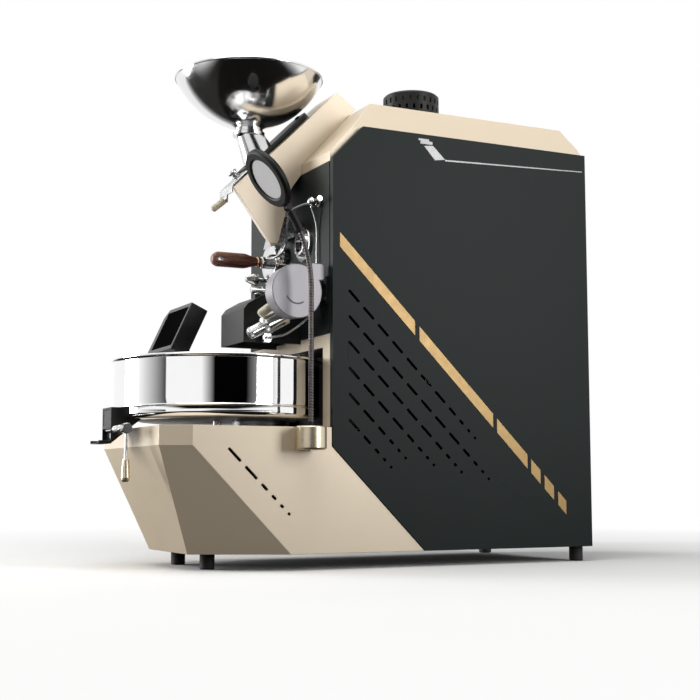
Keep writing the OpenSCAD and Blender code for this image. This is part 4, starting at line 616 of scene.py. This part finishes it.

# PROBES
# Glands, a star nut and a thumb screw that hold the two temperature probes, and the two braided leads between
# them, each running from one fitting to another.
dress("probe_fittings", steel, 0.3)
LEAD_R = 2.3
braid = Finish("braided_sleeve", Metallic=0.85)
weave = braid.cloud(900, 3)
braid.set(Base_Color=braid.blend(braid.span(weave, 0.35, 0.7), tint(108, 108, 108), tint(196, 196, 195)),
          Roughness=weave * 0.2 + 0.28)
braid.relief(weave, 0.00005)


class Pattern(Maker):
    """A geometry tree with named sizes, run once on a carrier mesh and kept as a plain mesh."""

    KINDS = {int: "NodeSocketInt", float: "NodeSocketFloat", bpy.types.Material: "NodeSocketMaterial",
             bpy.types.Object: "NodeSocketObject"}

    def __init__(self, name, **sizes):
        self.tree = bpy.data.node_groups.new(name, "GeometryNodeTree")
        sockets = self.tree.interface
        sockets.new_socket("Geometry", in_out="INPUT", socket_type="NodeSocketGeometry")
        self.sockets = {key: sockets.new_socket(key, in_out="INPUT", socket_type=self.KINDS[type(value)])
                        for key, value in sizes.items()}
        sockets.new_socket("Geometry", in_out="OUTPUT", socket_type="NodeSocketGeometry")
        self.sizes, self.entry = sizes, self.tree.nodes.new("NodeGroupInput")
        self.start = Term(self, self.entry.outputs[0])

    def size(self, key):
        return Term(self, self.entry.outputs[key])

    def paced(self):
        """The carrier as a line with a point at every pace, and the run along it."""
        line = self.node("GeometryNodeMeshToCurve", {}, {0: self.start})
        line = self.node("GeometryNodeResampleCurve", {"mode": "LENGTH"},
                         {"Curve": line, "Length": self.size("Pace")})
        return line, self.node("GeometryNodeSplineParameter", out=1)

    def run(self, name, carrier, made):
        whole = self.node("GeometryNodeRealizeInstances", {}, {0: made})
        whole = self.node("GeometryNodeSetMaterial", {}, {0: whole, "Material": self.size("Material")})
        self.plug(self.tree.nodes.new("NodeGroupOutput").inputs[0], whole)
        piece = bpy.data.objects.new(name, carrier)
        scene.collection.objects.link(piece)
        step = piece.modifiers.new(name, "NODES")
        step.node_group = self.tree
        for key, value in self.sizes.items():
            step[self.sockets[key].identifier] = value
        plain_mesh(piece, name)
        mesh = piece.data
        bpy.data.objects.remove(piece)
        return mesh


def line_mesh(name, points):
    mesh = bpy.data.meshes.new(name)
    mesh.from_pydata(points, [(k, k + 1) for k in range(len(points) - 1)], [])
    return mesh


def sleeve(name, points, finish, **lengths):
    """A braided sleeve along a line: strands that cross both ways stand out of it by a depth."""
    made = Pattern(name, Material=finish.material, **lengths)
    line, run = made.paced()
    line = made.node("GeometryNodeStoreNamedAttribute", {"data_type": "FLOAT", "domain": "POINT"},
                     {0: line, "Name": "run", "Value": run})
    ring = made.node("GeometryNodeCurvePrimitiveCircle", {}, {"Resolution": made.size("Sides"),
                                                              "Radius": made.size("Radius")})
    turn = made.node("GeometryNodeInputIndex") * (2 * math.pi) / made.size("Sides")
    ring = made.node("GeometryNodeStoreNamedAttribute", {"data_type": "FLOAT", "domain": "POINT"},
                     {0: ring, "Name": "turn", "Value": turn})
    tube = made.node("GeometryNodeCurveToMesh", {}, {"Curve": line, "Profile Curve": ring, "Fill Caps": True})
    run = made.node("GeometryNodeInputNamedAttribute", {"data_type": "FLOAT"}, {"Name": "run"})
    turn = made.node("GeometryNodeInputNamedAttribute", {"data_type": "FLOAT"}, {"Name": "turn"})
    wave = run * (2 * math.pi) / made.size("Pitch")
    crossing = (turn * made.size("Strands") + wave).sine() * (turn * made.size("Strands") - wave).sine()
    out = made.node("ShaderNodeVectorMath", {"operation": "SCALE"},
                    {0: made.node("GeometryNodeInputNormal"), 3: (crossing - 1.0) * 0.5 * made.size("Depth")})
    tube = made.node("GeometryNodeSetPosition", {}, {0: tube, "Offset": out})
    return made.run(name, line_mesh(name, points), tube)


def smooth_line(points, steps):
    """A smooth line through points, with the same rounding as the part's own leads."""
    ends = [points[0]] + points + [points[-1]]
    line = []
    for a, b, c, d in zip(ends, ends[1:], ends[2:], ends[3:]):
        for k in range(steps):
            t = k / steps
            line.append(0.5 * (2 * b + (c - a) * t + (2 * a - 5 * b + 4 * c - d) * t * t
                               + (3 * b - a - 3 * c + d) * t * t * t))
    return line + [points[-1]]


BEAN_LEAD = [(128, -17, 650), (123, -17.6, 650), (114, -26, 647.6), (98, -38, 640), (80, -38, 625),
             (66, -34, 606), (54, -30, 587), (38, -31, 571), (16, -39, 562), (-4, -42, 565), (-12, -34, 571),
             (-12, -23, 572)]
CHUTE_LEAD = [(144, -17, 638), (143, -12, 625), (141.5, -5.5, 600), (141.5, -5.5, 550), (141.5, -5.5, 490),
              (141.5, -8, 458), (141, -20, 434), (130, -33, 420), (118, -42, 411), (106, -54, 402),
              (97, -70, 398), (84, -77, 398)]
for name, places in (("bean_lead", BEAN_LEAD), ("chute_lead", CHUTE_LEAD)):
    line = smooth_line([spot(*place) for place in places], 8)
    length = sum((b - a).length for a, b in zip(line, line[1:]))
    mesh = sleeve(name, line, braid, Radius=LEAD_R / 1000, Depth=0.00035, Strands=6, Pitch=0.0046,
                  Pace=0.0006, Sides=36)
    lead = settle(name, mesh, braid, ["probe_cable"], smooth=80)

# LAMP
# A cup welded to the base holds a swan neck wound from two steel strips, which makes its ribs.
# The neck's black sleeve carries a flat round head with a frosted lens.
satin = Finish("champagne_metal", Metallic=0.9)
turning = satin.cloud(300, 3, 0.5, satin.place((0.2, 0.2, 4)))
satin.wear(tint(206, 192, 166), tint(222, 209, 184), turning, (0.2, 0.2), 0.00002, satin.cloud(30))
dress("lamp_base", satin, 0.6)
LAMP_X, LAMP_Y, CUP_TOP, NECK_Z, BEND_R, SLEEVE_TURN = 226.0, -56.0, 232.0, 472.5, 246.0, 24.3
NECK_R, RIB, RIB_LOW, NECK_STEPS = 4.9, 5.2, 0.9, 160
flex_conduit = Finish("flex_conduit", Metallic=0.7)
flex_conduit.wear(tint(58, 53, 54), tint(112, 105, 104), flex_conduit.cloud(160, 3), (0.3, 0.2), 0.00004)


def neck_point(run):
    """A place on the neck's centre line, a run in millimetres past the start of its bend."""
    turn = max(0.0, run) / BEND_R
    return spot(LAMP_X, LAMP_Y - BEND_R * (1 - math.cos(turn)),
                NECK_Z + BEND_R * math.sin(turn) + min(0.0, run))


def ribbed(name, points, finish, **lengths):
    """A tube along a line whose radius rises and falls once in every pitch."""
    made = Pattern(name, Material=finish.material, **lengths)
    line, run = made.paced()
    crest = abs((run * math.pi / made.size("Pitch")).sine()) ** 0.55
    ring = made.node("GeometryNodeCurvePrimitiveCircle", {},
                     {"Resolution": made.size("Sides"), "Radius": 1.0})
    tube = made.node("GeometryNodeCurveToMesh", {}, {
        "Curve": line, "Profile Curve": ring, "Fill Caps": True,
        "Scale": made.size("Radius") - (1.0 - crest) * made.size("Depth")})
    return made.run(name, line_mesh(name, points), tube)


start, stop = CUP_TOP - NECK_Z, BEND_R * math.radians(SLEEVE_TURN + 1)
line = [neck_point(start + (stop - start) * k / NECK_STEPS) for k in range(NECK_STEPS + 1)]
mesh = ribbed("lamp_neck", line, flex_conduit, Radius=NECK_R / 1000, Depth=RIB_LOW / 1000, Pitch=RIB / 1000,
              Pace=0.00065, Sides=28)
settle("lamp_neck", mesh, flex_conduit, ["lamp_arm"], smooth=70)
black_plastic = Finish("black_plastic", Specular_IOR_Level=0.2)
black_plastic.wear(tint(17, 17, 16), tint(26, 26, 24), black_plastic.cloud(1600, 3), (0.42, 0.18), 0.00006,
                   black_plastic.cloud(30))
NECK_TOP = neck_point(BEND_R * math.radians(SLEEVE_TURN)).z - 0.0005
NECK_FOOT = spot(0, 0, CUP_TOP).z
dress("lamp_arm", black_plastic, 0.3,
      keep=lambda middle: middle.z > NECK_TOP or middle.z < NECK_FOOT).name = "lamp_sleeve"
dress("lamp_head", black_plastic, 0.8)
lens = Finish("lamp_lens")
lens.wear(tint(196, 195, 197), tint(208, 207, 209), lens.cloud(1400, 2), (0.25, 0.2), 0.00003, lens.cloud(30))
dress("lamp_diffuser", lens, 0.4)

# CONSOLE
# A moulded case with a touch screen in front, which leans on a hinged arm of round bar.
# Glossy black shell whose edges carry a painted highlight in grey; the screen is one sheet of dark glass.
dress("console_arm", black_paint, 0.4)
console_plastic = Finish("console_plastic", Specular_IOR_Level=0.4)
gloss = console_plastic.cloud(900, 3)
tone = console_plastic.blend(console_plastic.cloud(18), tint(14, 14, 15), tint(22, 22, 23))
# Edges are lightened to a pale grey: a painted highlight.
tone = console_plastic.blend(console_plastic.corners(0.0014) * 0.8, tone, tint(150, 152, 152))
console_plastic.set(Base_Color=tone, Roughness=gloss * 0.14 + 0.24)
console_plastic.relief(gloss, 0.00003)
dress("console", console_plastic, 1.2, 3)
screen_glass = Finish("screen_glass", Specular_IOR_Level=0.0)
smear = screen_glass.cloud(18, 4)
screen_glass.set(Base_Color=screen_glass.blend(smear, tint(6, 6, 7), tint(12, 12, 13)),
                 Roughness=smear * 0.14 + 0.04)
dress("console_screen", screen_glass, 0.5)

# COOLING PAN
# A spun steel pan with a rolled lip and a pressed bead near its foot, on four pegs over the base.
# Mirror polished outside. A slotted sieve and a stirrer lie in it; a fan draws air down through the beans.
PAN_Y, PAN_FOOT, PAN_TOP, BEAD_Z = -148.0, 242.0, 355.6, 264.0
FLOOR_R, WALL_R, RIM_R, WALL_T, LIP, BEND = 150.0, 194.0, 200.0, 1.5, 3.0, 10.0
PAN_AXIS = spot(0, PAN_Y, 0)
polished_pan = Polish("polished_pan", PAN_AXIS, tint(240, 240, 241), tint(250, 250, 250), 0.03, 0.000002)
outline = [(FLOOR_R, PAN_FOOT)] + roll(WALL_R - BEND, PAN_FOOT + BEND, BEND, -90, 0, 10)
outline += [(WALL_R, BEAD_Z - 2.4)] + roll(WALL_R - 0.9, BEAD_Z, 2.1, -60, 60, 10) + [(WALL_R, BEAD_Z + 2.4)]
outline += [(WALL_R, PAN_FOOT + 24 + 12 * k) for k in range(1, 7)]
outline += [(WALL_R, PAN_TOP - 7.5), (WALL_R + 0.15, PAN_TOP - 6.2), (WALL_R + 0.8, PAN_TOP - 5.4)]
outline += roll(RIM_R - LIP, PAN_TOP - LIP, LIP, -110, 170, 26)
outline += [(WALL_R - WALL_T + 0.5, PAN_TOP - 3.2), (WALL_R - WALL_T, PAN_TOP - 5)]
outline += [(WALL_R - WALL_T, PAN_FOOT + 29), (WALL_R - WALL_T, PAN_FOOT + 26)]
outline += roll(WALL_R - BEND, PAN_FOOT + BEND, BEND - WALL_T, 0, -90, 8) + [(FLOOR_R, PAN_FOOT + WALL_T)]
notch = hull_mesh("outlet_notch", [(x, y, z) for x in (-28, 28) for y in (-400, -300) for z in (200, 263)])
mesh = cut_out("pan_wall", lathe("pan_wall", outline, PAN_Y, 320), notch)
settle("pan_wall", mesh, polished_pan, ["cooling_pan"], smooth=40)
dress("cooling_pan", frame_steel, 0,
      keep=lambda middle: (middle.xy - PAN_AXIS.xy).length < FLOOR_R / 1000).name = "pan_floor"
dress("pan_sieve", brushed_steel, 0)
dress("agitator", brushed_steel, 0.3)

# MOTORS, FANS AND DUCTS
# The stirrer's motor and the suction fan hang under the pan; the duct takes the air out at the rear.
# Motors in grey stove enamel, wheels and ducts in bare sheet.
motor_paint = Finish("motor_paint")
motor_paint.wear(tint(140, 143, 147), tint(164, 166, 170), motor_paint.cloud(90, 3), (0.4, 0.2), 0.0002)
dress("pan_motors", motor_paint, 0.5)
dress("drum_motor", black_paint, 0.3)
for node in ("cooling_duct", "cooling_impeller", "exhaust_impeller"):
    dress(node, frame_steel, 0.3)

# BEAN OUTLET
# A sheet box over the notch in the pan, with a flap on a sprung shaft that a turned lever lifts.
# Black paint outside; the lever is chrome with a champagne grip.
dress("outlet_box", black_paint, 0.5)
dress("outlet_flap", steel, 0.3)
dress("outlet_lever", steel, 0.25, smooth=40)
dress("outlet_grip", satin, 0.6)

# ROASTING DRUM
# A cast drum on a shaft between two bearings, turned by a pinion on the gear motor, in a welded chamber with
# an electric heater under it. None of it shows from outside, apart from a glimpse through the sight glass.
drum_steel = Finish("drum_steel", Metallic=0.9)
drum_steel.wear(tint(92, 88, 84), tint(132, 126, 120), drum_steel.cloud(120, 4), (0.35, 0.25), 0.0002)
for finish, nodes in ((drum_steel, ("drum", "drum_gear", "motor_pinion", "drum_bearings")),
                      (frame_steel, ("roast_chamber", "heater"))):
    for node in nodes:
        for place in frame["nodes"][node].material_slots:
            place.material = finish.material

# POWER INLET
# A moulded socket that snaps into the rear panel, low down beside its louvres.
# The same black plastic as the lamp's sleeve.
dress("power_inlet", black_plastic, 0.4)

# SCREWS
# Button heads with a hexagon socket that hold the panels, the sight glass and the flange.
# One head is laid on every point of a carrier, turned to its surface.
# Each is a place, the way it faces and a radius.
SIDE_OUT, RAKE_IN, RAKE_H, BASE_FRONT, GLASS_X, GLASS_Z, GLASS_RING = 199, 75, 191.6, 318, 77, 580, 28
HEADS = [(side * SIDE_OUT, y, z, side, 0, 0, 4)
         for side in (1, -1) for y, z in ((20, 717), (556, 775), (556, 16), (200, 16))]
RAKE = math.atan(RAKE_IN / RAKE_H)
HEADS += [(side * x, (RAKE_H - z) * RAKE_IN / RAKE_H - BASE_FRONT, z, 0, -math.cos(RAKE), -math.sin(RAKE), 4)
          for side in (1, -1) for x, z in ((150, 176), (103, 16))]
HEADS += [(*place, 0, -1, 0, 4)
          for place in ((121, -1, 557), (-64, -13, 595), (-63, -13, 538), (-90, -13, 554))]
HEADS += [(GLASS_X + GLASS_RING * math.cos(a), -7, GLASS_Z + GLASS_RING * math.sin(a), 0, -1, 0, 3)
          for a in map(math.radians, (40, 160, 280))]
screw_steel = Finish("screw_steel", Metallic=1.0)
screw_steel.wear(tint(70, 70, 72), tint(118, 118, 120), screw_steel.cloud(700, 3), (0.25, 0.25), 0.00003)


def hexagon(turn):
    """How far out a hexagon's side lies at an angle, where its corners are at one."""
    return math.cos(math.pi / 6) / math.cos(turn % (math.pi / 3) - math.pi / 6)


# The head's outline, as (radius, height) in millimetres for a head of 4 mm, and its socket's.
BUTTON = ((4.0, 0), (4.0, 0.7), (3.8, 1.2), (3.3, 1.75), (2.5, 2.2), (1.9, 2.35))
SOCKET = ((1.6, 2.35), (1.6, 1.0))
HEAD_SCALE, HEAD_SIDES = 0.00025, 24
head = bmesh.new()
loops = [[head.verts.new(Vector((math.cos(a), math.sin(a), 0)) * HEAD_SCALE * radius * edge(a)
                         + Vector((0, 0, height * HEAD_SCALE))) for a in round_angles(HEAD_SIDES)]
         for outline, edge in ((BUTTON, lambda turn: 1.0), (SOCKET, hexagon)) for radius, height in outline]
skin(head, loops)
head.faces.new(loops[0][::-1])
head.faces.new(loops[-1])
head_form = bpy.data.objects.new("screw_head", kept_mesh(head, "screw_head"))
scene.collection.objects.link(head_form)
carrier = bpy.data.meshes.new("screw_places")
carrier.from_pydata([spot(*h[:3]) for h in HEADS], [], [])
for name, kind, field, values in (("facing", "FLOAT_VECTOR", "vector", [v for h in HEADS for v in h[3:6]]),
                                  ("radius", "FLOAT", "value", [h[6] for h in HEADS])):
    carrier.attributes.new(name, kind, "POINT").data.foreach_set(field, values)
laid = Pattern("screws", Head=head_form, Material=screw_steel.material)
facing = laid.node("GeometryNodeInputNamedAttribute", {"data_type": "FLOAT_VECTOR"}, {"Name": "facing"})
radius = laid.node("GeometryNodeInputNamedAttribute", {"data_type": "FLOAT"}, {"Name": "radius"})
turned = laid.node("FunctionNodeAlignRotationToVector", {"axis": "Z"}, {"Vector": facing})
shape = laid.node("GeometryNodeObjectInfo", {}, {"Object": laid.size("Head")}, 4)
points = laid.node("GeometryNodeMeshToPoints", {}, {0: laid.start})
made = laid.node("GeometryNodeInstanceOnPoints", {}, {"Points": points, "Instance": shape, "Rotation": turned,
                                                      "Scale": radius})
mesh = laid.run("case_screws", carrier, made)
bpy.data.objects.remove(head_form)
settle("case_screw_heads", mesh, screw_steel, ["case_screws"], smooth=35)
